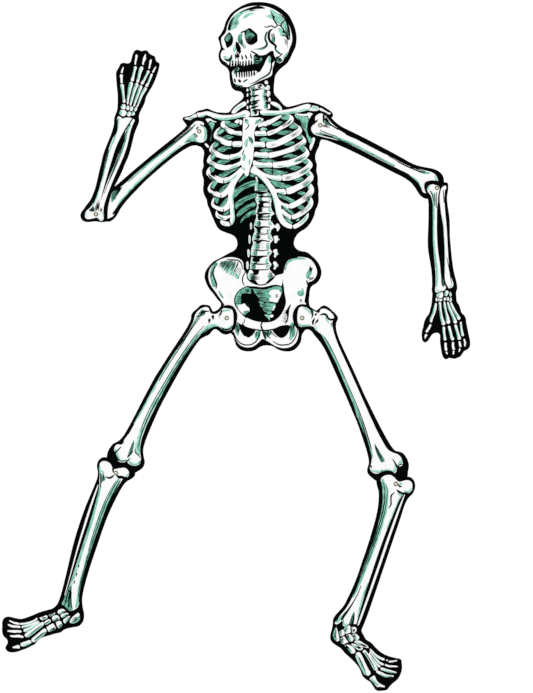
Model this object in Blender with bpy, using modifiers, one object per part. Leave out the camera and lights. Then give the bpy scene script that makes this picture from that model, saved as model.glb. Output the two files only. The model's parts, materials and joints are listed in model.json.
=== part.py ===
"""Jointed cardboard skeleton: nine die-cut printed cards held together by eight brass eyelets.

The figure faces -Y and hangs against a wall on its +Y side. X = 0 runs midway between the hips, and
the torso card's back is at Y = 0. Right and left are the figure's own, so its right limbs are at -X.
Every limb card is outlined as it would hang straight down from its upper eyelet, then swung outwards
(away from the body's middle) to its rest angle. All sizes are in millimetres until MM is applied.
"""
import bpy
import bmesh
from math import cos, pi, radians, sin
from mathutils import Matrix, Vector

MM = 0.001

# Driving dimensions
CARD = 0.6                # thickness of the card
LAYER_GAP = 0.9           # air between two cards that turn on one eyelet
UPPER_ARM = 265.0         # shoulder eyelet to elbow eyelet
THIGH = 381.0             # hip eyelet to knee eyelet
HIP_HALF_SPAN = 75.5      # hip eyelets from the middle
HIP_HEIGHT = -255.0
RIGHT_SHOULDER = (-130.5, 118.5)
LEFT_SHOULDER = (111.5, 130.5)

# Rest angles in degrees from straight down, positive away from the body's middle
RIGHT_UPPER_ARM_SWING = 51.2
LEFT_UPPER_ARM_SWING = 61.8
RIGHT_FOREARM_SWING = 198.2
LEFT_FOREARM_SWING = 2.3
RIGHT_THIGH_SWING = 35.6
LEFT_THIGH_SWING = 29.4
RIGHT_SHIN_SWING = 17.9
LEFT_SHIN_SWING = -18.7

# Eyelet
BORE_RADIUS = 2.0
BARREL_RADIUS = 2.5
FLANGE_RADIUS = 4.5
RIM_RADIUS = 3.9          # the clinched rim behind the rear card
LIP = 0.3                 # thickness of the flange and of the rim
FIT = 0.3                 # clearance between an eyelet and the cards
EDGE_ROUND = 0.12         # softening of the flange's and rim's outer edges
BORE_FLARE = 0.35         # flare where the bore meets the flange
EYELET_STEPS = 18
HOLE_RADIUS = BARREL_RADIUS + FIT
HOLE_SIDES = 24

OUTLINE_RESOLUTION = 3    # straight pieces between two outline points

LAYER_PITCH = CARD + LAYER_GAP
STACK = LAYER_PITCH + CARD            # two cards and the gap between them
RIGHT, LEFT = -1, 1                   # sign of X that points away from the body's middle

BLACK_INK = (0.006, 0.006, 0.007)
BRASS = (0.56, 0.42, 0.20)

# Outlines run clockwise as seen from the front, as (x, z). Limb outlines are drawn for the figure's
# right side, where -x is outwards, and mirrored for its left.
TORSO = [
    # skull, right side of the picture, down to the neck
    (-11, 377), (3, 376), (16, 373), (29, 367), (40, 359), (49, 350), (56, 337), (61, 325),
    (64, 310), (64, 298), (62, 287), (56, 274), (51, 263), (44, 253), (35, 246), (28, 239),
    (22, 230), (20, 219), (19, 207), (20, 193), (25, 187), (31, 180), (38, 172), (44, 168),
    # left collar bone, shoulder point and armpit
    (55, 169), (66, 172), (82, 176), (92, 176.5), (104, 174), (118, 168), (129, 161), (136, 155),
    (137, 149), (133, 143), (135, 134), (132, 121), (124, 108), (114, 102), (111, 96), (109, 88),
    # left flank down to the waist
    (105, 80), (102, 71), (102, 62), (105, 51), (104, 40), (106, 31), (107, 22), (106.5, 13),
    (108.5, 2), (108, -9), (108.5, -20), (106, -31), (102, -40), (100, -49), (96, -58), (90, -68),
    (81, -77), (71, -83), (63, -92), (59, -103), (60, -111), (66, -118),
    # left hip bone
    (73, -121), (84, -123), (95, -131), (104, -140), (111, -151), (114, -162), (113, -171),
    (109, -180), (102, -187), (95, -191), (91, -199), (90, -209), (89, -220), (90, -229),
    (95, -240), (96, -256), (90, -270), (80, -281),
    # seat bones
    (75, -289), (73, -302), (66, -313), (57, -320), (42, -322), (27, -318), (17, -312), (6, -310),
    (-4, -311), (-12, -315), (-18, -319), (-31, -322), (-47, -319), (-56, -311), (-60, -300),
    (-64, -289),
    # right hip bone up to the waist
    (-76, -281), (-91, -271), (-97, -256), (-95, -241), (-87, -228), (-94, -218), (-102, -207),
    (-111, -196), (-117, -184), (-120, -173), (-118, -162), (-111, -151), (-102, -142),
    (-91, -136), (-80, -130), (-69, -124), (-60, -119), (-55, -111), (-55, -102), (-59, -93),
    # right flank up to the armpit
    (-67, -88), (-78, -84), (-89, -79), (-96, -71), (-101, -60), (-106, -49), (-110, -38),
    (-114, -29), (-116, -18), (-121, -8), (-123, 2), (-122, 13), (-122, 22), (-125, 33),
    (-125, 40), (-122, 49), (-123, 58), (-122, 67), (-121, 75), (-123, 82), (-128, 87), (-138, 91),
    # right shoulder point and collar bone
    (-146, 100), (-151, 112), (-155, 129), (-160, 136), (-164, 143), (-163, 146), (-156, 148),
    (-144, 152), (-134, 159), (-122, 162), (-115, 164), (-107, 161), (-96, 157), (-85, 156),
    # neck and jaw up to the brow
    (-71, 157), (-67, 162), (-61, 169), (-51, 177), (-44, 184), (-42, 189), (-44, 194), (-49, 198),
    (-56, 199), (-64, 204), (-68, 214), (-70, 226), (-71, 237), (-76, 246), (-82, 250), (-89, 257),
    (-92, 268), (-91, 277), (-88, 284), (-89, 291), (-91, 299), (-93, 305), (-89, 311), (-82, 323),
    (-78, 336), (-69, 352), (-56, 363), (-42, 371), (-27, 376),
]

RIGHT_UPPER_ARM = [
    (-2, 24), (10, 22), (21, 14), (27, 3), (26, -8), (21, -19), (14, -29), (11, -40), (9, -55),
    (8, -75), (8, -100), (9, -125), (10, -145), (13, -170), (17, -198), (22, -219), (28, -234),
    (30, -245), (28, -254), (20, -262), (10, -271), (-2, -277), (-15, -273), (-25, -262),
    (-29, -250), (-29, -240), (-25, -228), (-21, -213), (-20, -195), (-21, -165), (-22, -130),
    (-22.5, -100), (-22.5, -60), (-22.5, -30), (-24, -14), (-28, -2), (-27, 10), (-20, 20),
    (-12, 24),
]

LEFT_UPPER_ARM = [
    (0, 25), (13, 22), (23, 13), (27, 1), (25, -12), (21, -25), (18, -50), (16, -75), (15, -105),
    (14.5, -140), (14, -175), (13.5, -198), (15, -211), (18, -221), (25, -234), (30, -245),
    (30, -255), (24, -264), (14, -273), (2, -278), (-9, -277), (-17, -272), (-24, -267),
    (-29, -260), (-31, -250), (-30, -240), (-27, -230), (-23, -217), (-20, -203), (-20, -170),
    (-20, -130), (-19.5, -90), (-18.5, -60), (-18, -40), (-20, -24), (-24, -12), (-27, -2),
    (-27, 8), (-22, 18), (-12, 24),
]

RIGHT_FOREARM = [
    # elbow and the outer edge down to the thumb
    (17, 21), (23, 19.5), (28.5, 13.5), (29.5, 7), (26.5, -3), (23.5, -13), (20, -23), (18.5, -35),
    (18, -50), (19, -65), (21, -85), (22, -100), (23.5, -115), (23.5, -130), (22.5, -145),
    (21.5, -160), (21.5, -173), (22.5, -183), (25, -192), (25.5, -200), (25, -210), (27, -220),
    (30, -230), (34.5, -243), (40, -255), (45, -267), (49, -277), (50.5, -283), (48.5, -293),
    # thumb tip and finger tips
    (47, -301.5), (41.5, -305.5), (34, -306.5), (30, -310.5), (30, -320), (30, -330),
    (27.5, -336.5), (22.5, -339), (16.5, -338.5), (11.5, -341), (5, -343), (-1, -339), (-7, -337.5),
    (-13.5, -336.5), (-18.5, -329), (-26, -326.5), (-28.5, -318),
    # back up the other edge
    (-29, -305), (-28.5, -290), (-27, -278), (-24, -265), (-22, -253), (-23, -243), (-22, -233),
    (-20.5, -225.5), (-20, -218), (-21, -211.5), (-24, -204), (-24, -195), (-23, -183),
    (-23, -175), (-24, -163), (-25, -148), (-25.5, -130), (-24, -115), (-23, -98), (-20.5, -80),
    (-18.5, -68), (-17, -55), (-17, -40), (-18, -24), (-21, -10), (-24, 2), (-22, 9), (-17, 11),
    (-12, 12.5), (-5, 13.5), (1.5, 16), (9, 19.5),
]

LEFT_FOREARM = [
    # elbow and the outer edge down to the thumb
    (4.5, 15), (17, 14.5), (23, 12), (25.5, 5.5), (25, -2), (22, -10), (19.5, -21), (18.5, -31),
    (19, -46), (20, -66), (21.5, -86), (23, -106), (23, -121), (21.5, -136), (19.5, -151),
    (18, -166), (17.5, -181), (18, -196), (19, -203), (18, -211), (19, -221), (20.5, -231),
    (23, -241), (27, -252), (32, -258), (36.5, -267), (39, -277), (42, -287), (42.5, -297),
    # thumb tip, the web and the finger tips
    (40.5, -305.5), (35.5, -308), (30.5, -305), (25.5, -298), (20.5, -292), (14.5, -290), (8, -291),
    (6, -297), (6.5, -305.5), (5.5, -318), (4, -330.5), (0.5, -340.5), (-4.5, -343.5),
    (-10.5, -341), (-15.5, -342), (-22, -343), (-28, -341), (-33, -339), (-37, -334), (-42, -328),
    (-48, -325.5), (-52.5, -320.5),
    # back up the other edge
    (-54, -310.5), (-52, -298), (-50, -285.5), (-48, -273), (-47, -263), (-44.5, -257),
    (-39.5, -252), (-37, -243), (-34.5, -235.5), (-30.5, -228), (-30, -220.5), (-30, -210.5),
    (-32.5, -202), (-32, -193), (-29.5, -180.5), (-27, -168), (-25, -150.5), (-23.5, -130.5),
    (-22.5, -110.5), (-22, -95.5), (-22.5, -80.5), (-22.5, -60.5), (-21, -45.5), (-19.5, -30.5),
    (-19.5, -18), (-22, -5.5), (-22.5, 2), (-22, 8), (-18, 10.5), (-12, 10.5), (-4, 13),
]

RIGHT_THIGH = [
    # ball of the hip and the inner edge
    (-3, 26), (8, 22), (16, 14), (21, 4), (25, -4), (25.5, -12), (23, -22), (16.5, -29), (8, -31),
    (0, -30.5), (-6, -32), (-8.5, -39), (-9, -47), (-13.5, -55.5), (-17.5, -64), (-18.5, -74),
    (-18.5, -87), (-17.5, -107), (-16, -127), (-14, -147), (-11, -174), (-8, -200), (-4.5, -224),
    (0, -247), (5, -270), (11, -294), (18, -312), (26.5, -322), (34, -329), (37.5, -337),
    # knee
    (37, -345.5), (33, -355), (28, -367), (19, -382), (5, -391), (-11, -390), (-25, -381),
    (-33, -367), (-38.5, -353),
    # outer edge up to the hip's outer knob
    (-39, -345), (-38.5, -337), (-34.5, -329), (-32, -322), (-31, -312), (-32.5, -294),
    (-35, -274), (-38.5, -250), (-42, -227), (-45, -204), (-48, -180), (-49.5, -154),
    (-51, -127), (-52, -100), (-53, -74), (-54.5, -57), (-57, -44), (-61, -37), (-62, -30),
    (-59.5, -20), (-57, -9), (-50, -3), (-42, 0), (-35, -3), (-30, -5), (-26, 0), (-23, 6),
    (-20, 14), (-14.5, 21.5), (-7, 25.5),
]

LEFT_THIGH = [
    # ball of the hip and the inner edge
    (-6.5, 26), (4.5, 23), (13, 15.5), (18, 5.5), (20.5, -4.5), (19.5, -13), (17, -19.5),
    (9.5, -23), (1, -26), (-2.5, -31), (-4, -41), (-6.5, -54.5), (-8, -68), (-8, -81),
    (-6.5, -101), (-4, -128), (-1.5, -154.5), (1, -181), (4, -208), (7, -234.5), (11, -258),
    (15.5, -281), (20, -301), (26.5, -318), (36, -328), (38.5, -336),
    # knee
    (36, -346), (32, -355), (27, -367), (17, -383), (3, -392), (-12, -391), (-25, -383),
    (-34, -371), (-40.5, -363), (-44, -353),
    # outer edge up to the hip's outer knob
    (-44.5, -344.5), (-43, -334.5), (-38, -328), (-32.5, -323), (-30, -314.5), (-29, -301),
    (-29, -274.5), (-30, -248), (-31.5, -221), (-33, -194.5), (-35.5, -168), (-38, -141),
    (-40, -114.5), (-42, -88), (-44.5, -68), (-49, -51), (-55.5, -41), (-62, -36), (-63, -29.5),
    (-60.5, -19.5), (-56.5, -8), (-52, -0.5), (-45.5, 1.5), (-39, 0.5), (-32, -0.5), (-29, 4),
    (-24.5, 12), (-17, 22),
]

RIGHT_SHIN = [
    # knee and the inner edge down to the heel
    (-24, 24), (-13, 23), (-4, 18.5), (5, 20.5), (16, 23.5), (27, 21.5), (35, 15), (38, 7),
    (34, -1), (26, -10), (21.5, -21), (18, -37), (14.5, -59), (11.5, -84), (10, -112),
    (9.5, -143), (9, -174), (9, -206), (10, -231), (12, -252.5), (16, -268), (21.5, -279),
    (26, -287), (29, -298), (28, -307), (23, -315),
    # sole and toes
    (15, -319.5), (6, -324.5), (-2, -330.5), (-6.5, -337), (-16, -343), (-25.5, -349.5),
    (-34.5, -355.5), (-41, -360.5), (-46, -368), (-49, -376), (-55, -382), (-61.5, -388.5),
    (-69, -394.5), (-76, -400), (-84, -404.5), (-92, -406.5), (-99, -405), (-103, -400),
    (-101.5, -390), (-105, -384), (-113, -380), (-119, -372), (-122, -362), (-125, -350),
    # instep and the outer edge
    (-121, -342), (-114.5, -339), (-102, -338), (-89.5, -335.5), (-80, -329), (-70.5, -321.5),
    (-59.5, -312), (-45.5, -302.5), (-37, -296.5), (-31.5, -287), (-30, -277.5), (-30, -262),
    (-31.5, -237), (-34, -205.5), (-36.5, -174.5), (-38, -143), (-38, -112), (-37, -80.5),
    (-34.5, -52.5), (-33, -34), (-32.5, -21.5), (-34.5, -10.5), (-39.5, -1), (-41.5, 8.5),
    (-39.5, 16), (-33, 22.5),
]

LEFT_SHIN = [
    # knee and the inner edge down to the heel
    (-23.5, 22.5), (-13, 19), (-4, 15.5), (6, 18.5), (18, 21.5), (30, 17.5), (38, 8), (40, -2),
    (36, -13), (28, -25), (23.5, -37.5), (19.5, -53.5), (16.5, -75), (15, -100), (14, -125),
    (14, -169), (14, -200), (15.5, -225), (18, -247), (20.5, -263), (25, -275), (30.5, -288),
    (32, -297), (29.5, -306.5), (28, -319), (26.5, -331.5), (21, -339.5),
    # sole and toes
    (9.5, -344), (-1.5, -347), (-12.5, -353.5), (-26.5, -359.5), (-42, -367.5), (-51.5, -375),
    (-59.5, -384.5), (-69, -389.5), (-78, -391.5), (-86, -397), (-95.5, -403.5), (-108, -400),
    (-115.5, -395.5), (-118.5, -387.5), (-122, -380), (-128, -370.5), (-131, -359.5),
    (-130.5, -347), (-126.5, -336), (-122, -329),
    # instep and the outer edge
    (-112.5, -329.5), (-97, -330.5), (-81, -328.5), (-65.5, -322), (-54.5, -316), (-43.5, -313.5),
    (-37.5, -308), (-29.5, -300), (-29.5, -291), (-30.5, -275), (-31, -231), (-31, -169),
    (-31, -106), (-31, -59), (-31, -28), (-33.5, -17.5), (-37.5, -9.5), (-39.5, 0), (-38, 9.5),
    (-33, 17.5),
]


def below(pivot, side, swing, length):
    """The point a given length down a limb that swings outwards from a pivot."""
    angle = radians(swing)
    return (pivot[0] + side * sin(angle) * length, pivot[1] - cos(angle) * length)


RIGHT_HIP = (-HIP_HALF_SPAN, HIP_HEIGHT)
LEFT_HIP = (HIP_HALF_SPAN, HIP_HEIGHT)
RIGHT_ELBOW = below(RIGHT_SHOULDER, RIGHT, RIGHT_UPPER_ARM_SWING, UPPER_ARM)
LEFT_ELBOW = below(LEFT_SHOULDER, LEFT, LEFT_UPPER_ARM_SWING, UPPER_ARM)
RIGHT_KNEE = below(RIGHT_HIP, RIGHT, RIGHT_THIGH_SWING, THIGH)
LEFT_KNEE = below(LEFT_HIP, LEFT, LEFT_THIGH_SWING, THIGH)

# name, outline, side, swing, layer from the wall, upper eyelet, all eyelets in the card
LIMBS = [
    ("right_upper_arm_card", RIGHT_UPPER_ARM, RIGHT, RIGHT_UPPER_ARM_SWING, 1,
     RIGHT_SHOULDER, (RIGHT_SHOULDER, RIGHT_ELBOW)),
    ("left_upper_arm_card", LEFT_UPPER_ARM, LEFT, LEFT_UPPER_ARM_SWING, 1,
     LEFT_SHOULDER, (LEFT_SHOULDER, LEFT_ELBOW)),
    ("right_forearm_card", RIGHT_FOREARM, RIGHT, RIGHT_FOREARM_SWING, 2,
     RIGHT_ELBOW, (RIGHT_ELBOW,)),
    ("left_forearm_card", LEFT_FOREARM, LEFT, LEFT_FOREARM_SWING, 2,
     LEFT_ELBOW, (LEFT_ELBOW,)),
    ("right_thigh_card", RIGHT_THIGH, RIGHT, RIGHT_THIGH_SWING, 1,
     RIGHT_HIP, (RIGHT_HIP, RIGHT_KNEE)),
    ("left_thigh_card", LEFT_THIGH, LEFT, LEFT_THIGH_SWING, 1,
     LEFT_HIP, (LEFT_HIP, LEFT_KNEE)),
    ("right_shin_card", RIGHT_SHIN, RIGHT, RIGHT_SHIN_SWING, 2,
     RIGHT_KNEE, (RIGHT_KNEE,)),
    ("left_shin_card", LEFT_SHIN, LEFT, LEFT_SHIN_SWING, 2,
     LEFT_KNEE, (LEFT_KNEE,)),
]

# name, place, layer of the rear card
EYELETS = [
    ("right_shoulder_eyelet", RIGHT_SHOULDER, 0),
    ("left_shoulder_eyelet", LEFT_SHOULDER, 0),
    ("right_hip_eyelet", RIGHT_HIP, 0),
    ("left_hip_eyelet", LEFT_HIP, 0),
    ("right_elbow_eyelet", RIGHT_ELBOW, 1),
    ("left_elbow_eyelet", LEFT_ELBOW, 1),
    ("right_knee_eyelet", RIGHT_KNEE, 1),
    ("left_knee_eyelet", LEFT_KNEE, 1),
]


def clear_scene():
    for obj in list(bpy.data.objects):
        bpy.data.objects.remove(obj, do_unlink=True)


def make_collection(name):
    collection = bpy.data.collections.new(name)
    bpy.context.scene.collection.children.link(collection)
    return collection


def make_material(name, colour, roughness, metallic):
    material = bpy.data.materials.new(name)
    material.use_nodes = True
    shader = material.node_tree.nodes["Principled BSDF"]
    shader.inputs["Base Color"].default_value = (*colour, 1.0)
    shader.inputs["Roughness"].default_value = roughness
    shader.inputs["Metallic"].default_value = metallic
    return material


def placement(pivot, back, side=RIGHT, swing=0.0):
    """Stands a drawing plane upright at a pivot, its local +Z towards the front (-Y)."""
    place = Matrix.Translation(Vector((pivot[0], -back, pivot[1])) * MM)
    swung = Matrix.Rotation(-side * radians(swing), 4, "Y")
    upright = Matrix.Rotation(pi / 2, 4, "X")
    return place @ swung @ upright


def outline_mesh(name, points):
    """A smooth closed outline filled to the card's thickness, back face at local Z = 0."""
    curve = bpy.data.curves.new(name + "_outline", "CURVE")
    curve.dimensions = "2D"
    curve.fill_mode = "BOTH"
    curve.extrude = CARD / 2 * MM
    curve.resolution_u = OUTLINE_RESOLUTION
    spline = curve.splines.new("BEZIER")
    spline.bezier_points.add(len(points) - 1)
    spline.use_cyclic_u = True
    for bezier_point, (x, z) in zip(spline.bezier_points, points):
        bezier_point.co = (x * MM, z * MM, 0)
        bezier_point.handle_left_type = "AUTO"
        bezier_point.handle_right_type = "AUTO"
    guide = bpy.data.objects.new(name + "_outline", curve)
    bpy.context.scene.collection.objects.link(guide)
    bpy.context.view_layer.update()
    depsgraph = bpy.context.evaluated_depsgraph_get()
    mesh = bpy.data.meshes.new_from_object(guide.evaluated_get(depsgraph))
    bpy.data.objects.remove(guide, do_unlink=True)
    work = bmesh.new()
    work.from_mesh(mesh)
    bmesh.ops.remove_doubles(work, verts=work.verts, dist=0.01 * MM)
    bmesh.ops.translate(work, verts=work.verts, vec=(0, 0, CARD / 2 * MM))
    bmesh.ops.recalc_face_normals(work, faces=work.faces)
    work.to_mesh(mesh)
    work.free()
    mesh.name = name
    return mesh


def make_hole_cutter(name, place, collection):
    bpy.ops.mesh.primitive_cylinder_add(
        vertices=HOLE_SIDES, radius=HOLE_RADIUS * MM, depth=4 * STACK * MM,
        location=(place[0] * MM, -STACK / 2 * MM, place[1] * MM), rotation=(pi / 2, 0, 0))
    cutter = bpy.context.object
    cutter.name = name
    cutter.display_type = "WIRE"
    cutter.hide_render = True
    for owner in list(cutter.users_collection):
        owner.objects.unlink(cutter)
    collection.objects.link(cutter)
    return cutter


def make_card(name, points, matrix, cutters, material, collection):
    mesh = outline_mesh(name, points)
    mesh.materials.clear()
    mesh.materials.append(material)
    card = bpy.data.objects.new(name, mesh)
    card.matrix_world = matrix
    collection.objects.link(card)
    for cutter in cutters:
        punch = card.modifiers.new("punch_" + cutter.name, "BOOLEAN")
        punch.operation = "DIFFERENCE"
        punch.solver = "EXACT"
        punch.object = cutter
    return card


def eyelet_profile():
    """Half the eyelet's section, down the outside from the flange and back up the bore."""
    top = STACK + FIT + LIP
    bottom = -FIT - LIP
    return [
        (FLANGE_RADIUS - EDGE_ROUND, top),
        (FLANGE_RADIUS, top - EDGE_ROUND),
        (FLANGE_RADIUS - EDGE_ROUND, top - LIP),
        (BARREL_RADIUS, top - LIP),
        (BARREL_RADIUS, bottom + LIP),
        (RIM_RADIUS - EDGE_ROUND, bottom + LIP),
        (RIM_RADIUS, bottom + EDGE_ROUND),
        (RIM_RADIUS - EDGE_ROUND, bottom),
        (BORE_RADIUS + EDGE_ROUND, bottom),
        (BORE_RADIUS, bottom + LIP),
        (BORE_RADIUS, top - BORE_FLARE),
        (BORE_RADIUS + BORE_FLARE, top),
    ]


def make_eyelet(name, place, rear_layer, material, collection):
    profile = eyelet_profile()
    mesh = bpy.data.meshes.new(name)
    vertices = [(r * MM, 0, z * MM) for r, z in profile]
    edges = [(i, (i + 1) % len(profile)) for i in range(len(profile))]
    mesh.from_pydata(vertices, edges, [])
    mesh.materials.append(material)
    eyelet = bpy.data.objects.new(name, mesh)
    eyelet.matrix_world = placement(place, rear_layer * LAYER_PITCH)
    collection.objects.link(eyelet)
    turn = eyelet.modifiers.new("turn", "SCREW")
    turn.axis = "Z"
    turn.angle = 2 * pi
    turn.steps = EYELET_STEPS
    turn.render_steps = EYELET_STEPS
    turn.use_merge_vertices = True
    turn.merge_threshold = 0.00001
    turn.use_smooth_shade = True
    return eyelet


def build():
    clear_scene()
    figure = make_collection("halloween_skeleton_figure")
    tools = make_collection("cutters")
    print_black = make_material("printed_card", BLACK_INK, 0.5, 0.0)
    brass = make_material("eyelet_brass", BRASS, 0.32, 1.0)

    cutters = {}
    for name, place, _ in EYELETS:
        cutters[place] = make_hole_cutter(name.replace("eyelet", "hole"), place, tools)

    torso_holes = [cutters[place] for _, place, rear_layer in EYELETS if rear_layer == 0]
    make_card("torso_card", TORSO, placement((0, 0), 0), torso_holes, print_black, figure)
    for name, outline, side, swing, layer, pivot, places in LIMBS:
        points = [(-side * x, z) for x, z in outline]
        matrix = placement(pivot, layer * LAYER_PITCH, side, swing)
        make_card(name, points, matrix, [cutters[p] for p in places], print_black, figure)
    for name, place, rear_layer in EYELETS:
        make_eyelet(name, place, rear_layer, brass, figure)


build()
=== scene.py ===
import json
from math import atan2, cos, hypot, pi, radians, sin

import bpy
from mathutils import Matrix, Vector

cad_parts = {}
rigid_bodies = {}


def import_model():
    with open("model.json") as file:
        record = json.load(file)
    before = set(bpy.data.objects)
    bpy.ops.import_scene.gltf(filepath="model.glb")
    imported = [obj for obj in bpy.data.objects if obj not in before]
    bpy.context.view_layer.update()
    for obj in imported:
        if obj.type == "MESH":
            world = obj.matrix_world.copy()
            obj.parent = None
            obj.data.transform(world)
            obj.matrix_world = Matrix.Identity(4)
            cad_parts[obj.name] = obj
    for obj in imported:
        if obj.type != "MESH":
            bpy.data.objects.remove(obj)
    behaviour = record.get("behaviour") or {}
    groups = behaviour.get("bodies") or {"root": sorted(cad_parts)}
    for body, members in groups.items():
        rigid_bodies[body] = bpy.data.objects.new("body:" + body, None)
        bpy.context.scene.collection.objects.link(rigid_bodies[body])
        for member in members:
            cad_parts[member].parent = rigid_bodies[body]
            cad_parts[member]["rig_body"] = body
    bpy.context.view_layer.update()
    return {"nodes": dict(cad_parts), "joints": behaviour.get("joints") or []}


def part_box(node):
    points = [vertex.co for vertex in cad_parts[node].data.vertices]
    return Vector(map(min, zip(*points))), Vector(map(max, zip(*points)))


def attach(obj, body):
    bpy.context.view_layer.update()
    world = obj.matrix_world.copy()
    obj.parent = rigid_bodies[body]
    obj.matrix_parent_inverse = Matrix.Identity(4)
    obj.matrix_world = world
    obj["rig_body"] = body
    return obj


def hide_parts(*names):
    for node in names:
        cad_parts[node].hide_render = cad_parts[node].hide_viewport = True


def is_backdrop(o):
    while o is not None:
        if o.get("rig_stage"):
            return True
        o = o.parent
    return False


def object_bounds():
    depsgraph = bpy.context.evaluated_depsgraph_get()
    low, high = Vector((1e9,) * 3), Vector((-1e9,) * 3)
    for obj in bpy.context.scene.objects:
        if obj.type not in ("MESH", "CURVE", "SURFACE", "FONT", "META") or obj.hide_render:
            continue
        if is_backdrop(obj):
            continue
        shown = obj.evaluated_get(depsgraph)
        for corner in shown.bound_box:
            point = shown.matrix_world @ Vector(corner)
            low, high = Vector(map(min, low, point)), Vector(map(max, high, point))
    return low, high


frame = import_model()

# The jointed cardboard skeleton: nine die-cut cards printed with bones on black, and the eight brass
# eyelets that hold them together. Each card keeps its CAD shape, and the printing stands on its front as
# thin films of ink, one piece per ink. Drawings are in mm, as (x, z) seen from the front. A limb is drawn
# hanging straight down from the eyelet at its upper end, with its outer side at negative x. The torso is
# drawn where it stands.

MM = 0.001
RIGHT = -1
LEFT = 1

# How far each limb swings out from hanging straight down, in degrees.
SWING = {
    "right_upper_arm": 51.2,
    "left_upper_arm": 61.8,
    "right_forearm": 198.2,
    "left_forearm": 2.3,
    "right_thigh": 35.6,
    "left_thigh": 29.4,
    "right_shin": 17.9,
    "left_shin": -18.7,
}
UPPER_JOINT = {
    "upper_arm": "shoulder",
    "forearm": "elbow",
    "thigh": "hip",
    "shin": "knee",
}

# Height of each layer of ink above the card, in mm. Later marks of a layer lie up to SPREAD higher.
# The films' closed undersides are at ROOT, inside the card.
ROOT = -0.05
BONE = 0.06
WASH = 0.10
LINE = 0.15
CHALK = 0.185
GLOW = 0.22
SPREAD = 0.03

# How the printing has spread or shrunk on the card, beside the drawing.
PEBBLE_SIZE = 0.92
DIGIT_WIDTH = 0.84
LINE_GAIN = 1.25
LINE_BLEED = 0.7
TINGE_WIDTH = 1.35
TINGE_TONE = 0.08

# A stroke's round end, as turns in radians to either side of straight on.
CAP_TURNS = (-0.9, -0.3, 0.3, 0.9)

# Hatch lines. Each lacks HATCH_SHORT of its length on average, and its start is moved by up to HATCH_START
# of it. Its full width is at HATCH_NEAR of its length and varies by HATCH_VARY. Its head and its tail are
# parts of that width. The turns, in radians a line, keep neighbouring lines different.
HATCH_SHORT = 0.18
HATCH_SHORT_TURN = 2.4
HATCH_START = 0.08
HATCH_START_TURN = 1.7
HATCH_GAIN = 1.35
HATCH_BLEED = 0.65
HATCH_VARY = 0.3
HATCH_VARY_TURN = 3.1
HATCH_NEAR = 0.35
HATCH_HEAD = 0.45
HATCH_TAIL = 0.12

# The eyelets, in mm: the radii of the bore, the front flange and the rim behind, then how thick their lips,
# the tube's wall and its bevels are.
EYELET_BORE = 2.0
EYELET_FLANGE = 4.5
EYELET_RIM = 3.9
EYELET_LIP = 0.3
EYELET_WALL = 0.5
EYELET_BEVEL = 0.45

# The eyelets' meshes: points around, steps in a lip's roll, and the splits between the petals of the rim,
# with a half width in points and a depth in mm.
AROUND = 72
ROLL_STEPS = 8
PETALS = 6
SPLIT_HALF = 1.5
SPLIT_DEPTH = 0.9

# The tooth of the printed card: features a metre, and their depth in metres.
TOOTH_SCALE = 2600
TOOTH_DEPTH = 0.00004

# The photograph's view, in metres: the picture's height, the point it looks at as (x, z), and how far off
# the camera stands. Then the floor's size, its drop below the feet and its grey, and the light's strength.
VIEW_HEIGHT = 1.386
VIEW_CENTRE = (0.004, -0.312)
VIEW_DISTANCE = 3
FLOOR_SIZE = 6
FLOOR_GAP = 0.004
FLOOR_GREY = 0.85
STUDIO_LIGHT = 1.05


# ---------------------------------------------------------------- outlines

def numbers(text):
    """The points written as "x,z x,z" or "x,z,width x,z,width"."""
    return [tuple(float(part) for part in item.split(",")) for item in text.split()]


def rounded(points, closed, steps=4):
    """A smooth Catmull-Rom line through the points. A point given twice is a sharp corner."""
    count = len(points)
    path = []
    for i in range(count if closed else count - 1):
        if closed:
            a, b, c, d = (points[(i + k) % count] for k in (-1, 0, 1, 2))
        else:
            a, b, c, d = (points[min(max(i + k, 0), count - 1)] for k in (-1, 0, 1, 2))
        if b[:2] == c[:2]:
            continue
        for k in range(steps):
            t = k / steps
            path.append(tuple(
                0.5 * (2 * q + (r - p) * t + (2 * p - 5 * q + 4 * r - s) * t * t
                       + (3 * q - p - 3 * r + s) * t ** 3)
                for p, q, r, s in zip(a, b, c, d)
            ))
    if not closed:
        path.append(points[-1])
    return path


def edges_of(path):
    """The two edges of a brush stroke given as (x, z, width): its right edge, then its left edge."""
    right, left = [], []
    for i, (x, z, width) in enumerate(path):
        before, after = path[max(i - 1, 0)], path[min(i + 1, len(path) - 1)]
        dx, dz = after[0] - before[0], after[1] - before[1]
        size = hypot(dx, dz) or 1.0
        nx, nz = dz / size * width / 2, -dx / size * width / 2
        right.append((x + nx, z + nz))
        left.append((x - nx, z - nz))
    return right, left


def cap(path, end):
    """The points of the round end of a stroke, from one edge to the other."""
    x, z, width = path[end]
    near = path[1] if end == 0 else path[-2]
    angle = atan2(z - near[1], x - near[0])
    return [
        (x + cos(angle + turn) * width / 2, z + sin(angle + turn) * width / 2)
        for turn in CAP_TURNS
    ]


# ---------------------------------------------------------------- marks of ink

def area(text, tone=0.0, grain=90):
    """A filled shape. tone is how deep its green is, and grain the way its streaks run, in degrees."""
    return {"outline": rounded(numbers(text), True), "tone": tone, "grain": grain}


def stroke(text, tone=0.0, grain=90):
    """A filled brush stroke through "x,z,width" points, with round ends."""
    path = rounded(numbers(text), False)
    right, left = edges_of(path)
    outline = right + cap(path, -1) + left[::-1] + cap(path, 0)
    return {"outline": outline, "tone": tone, "grain": grain}


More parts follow.
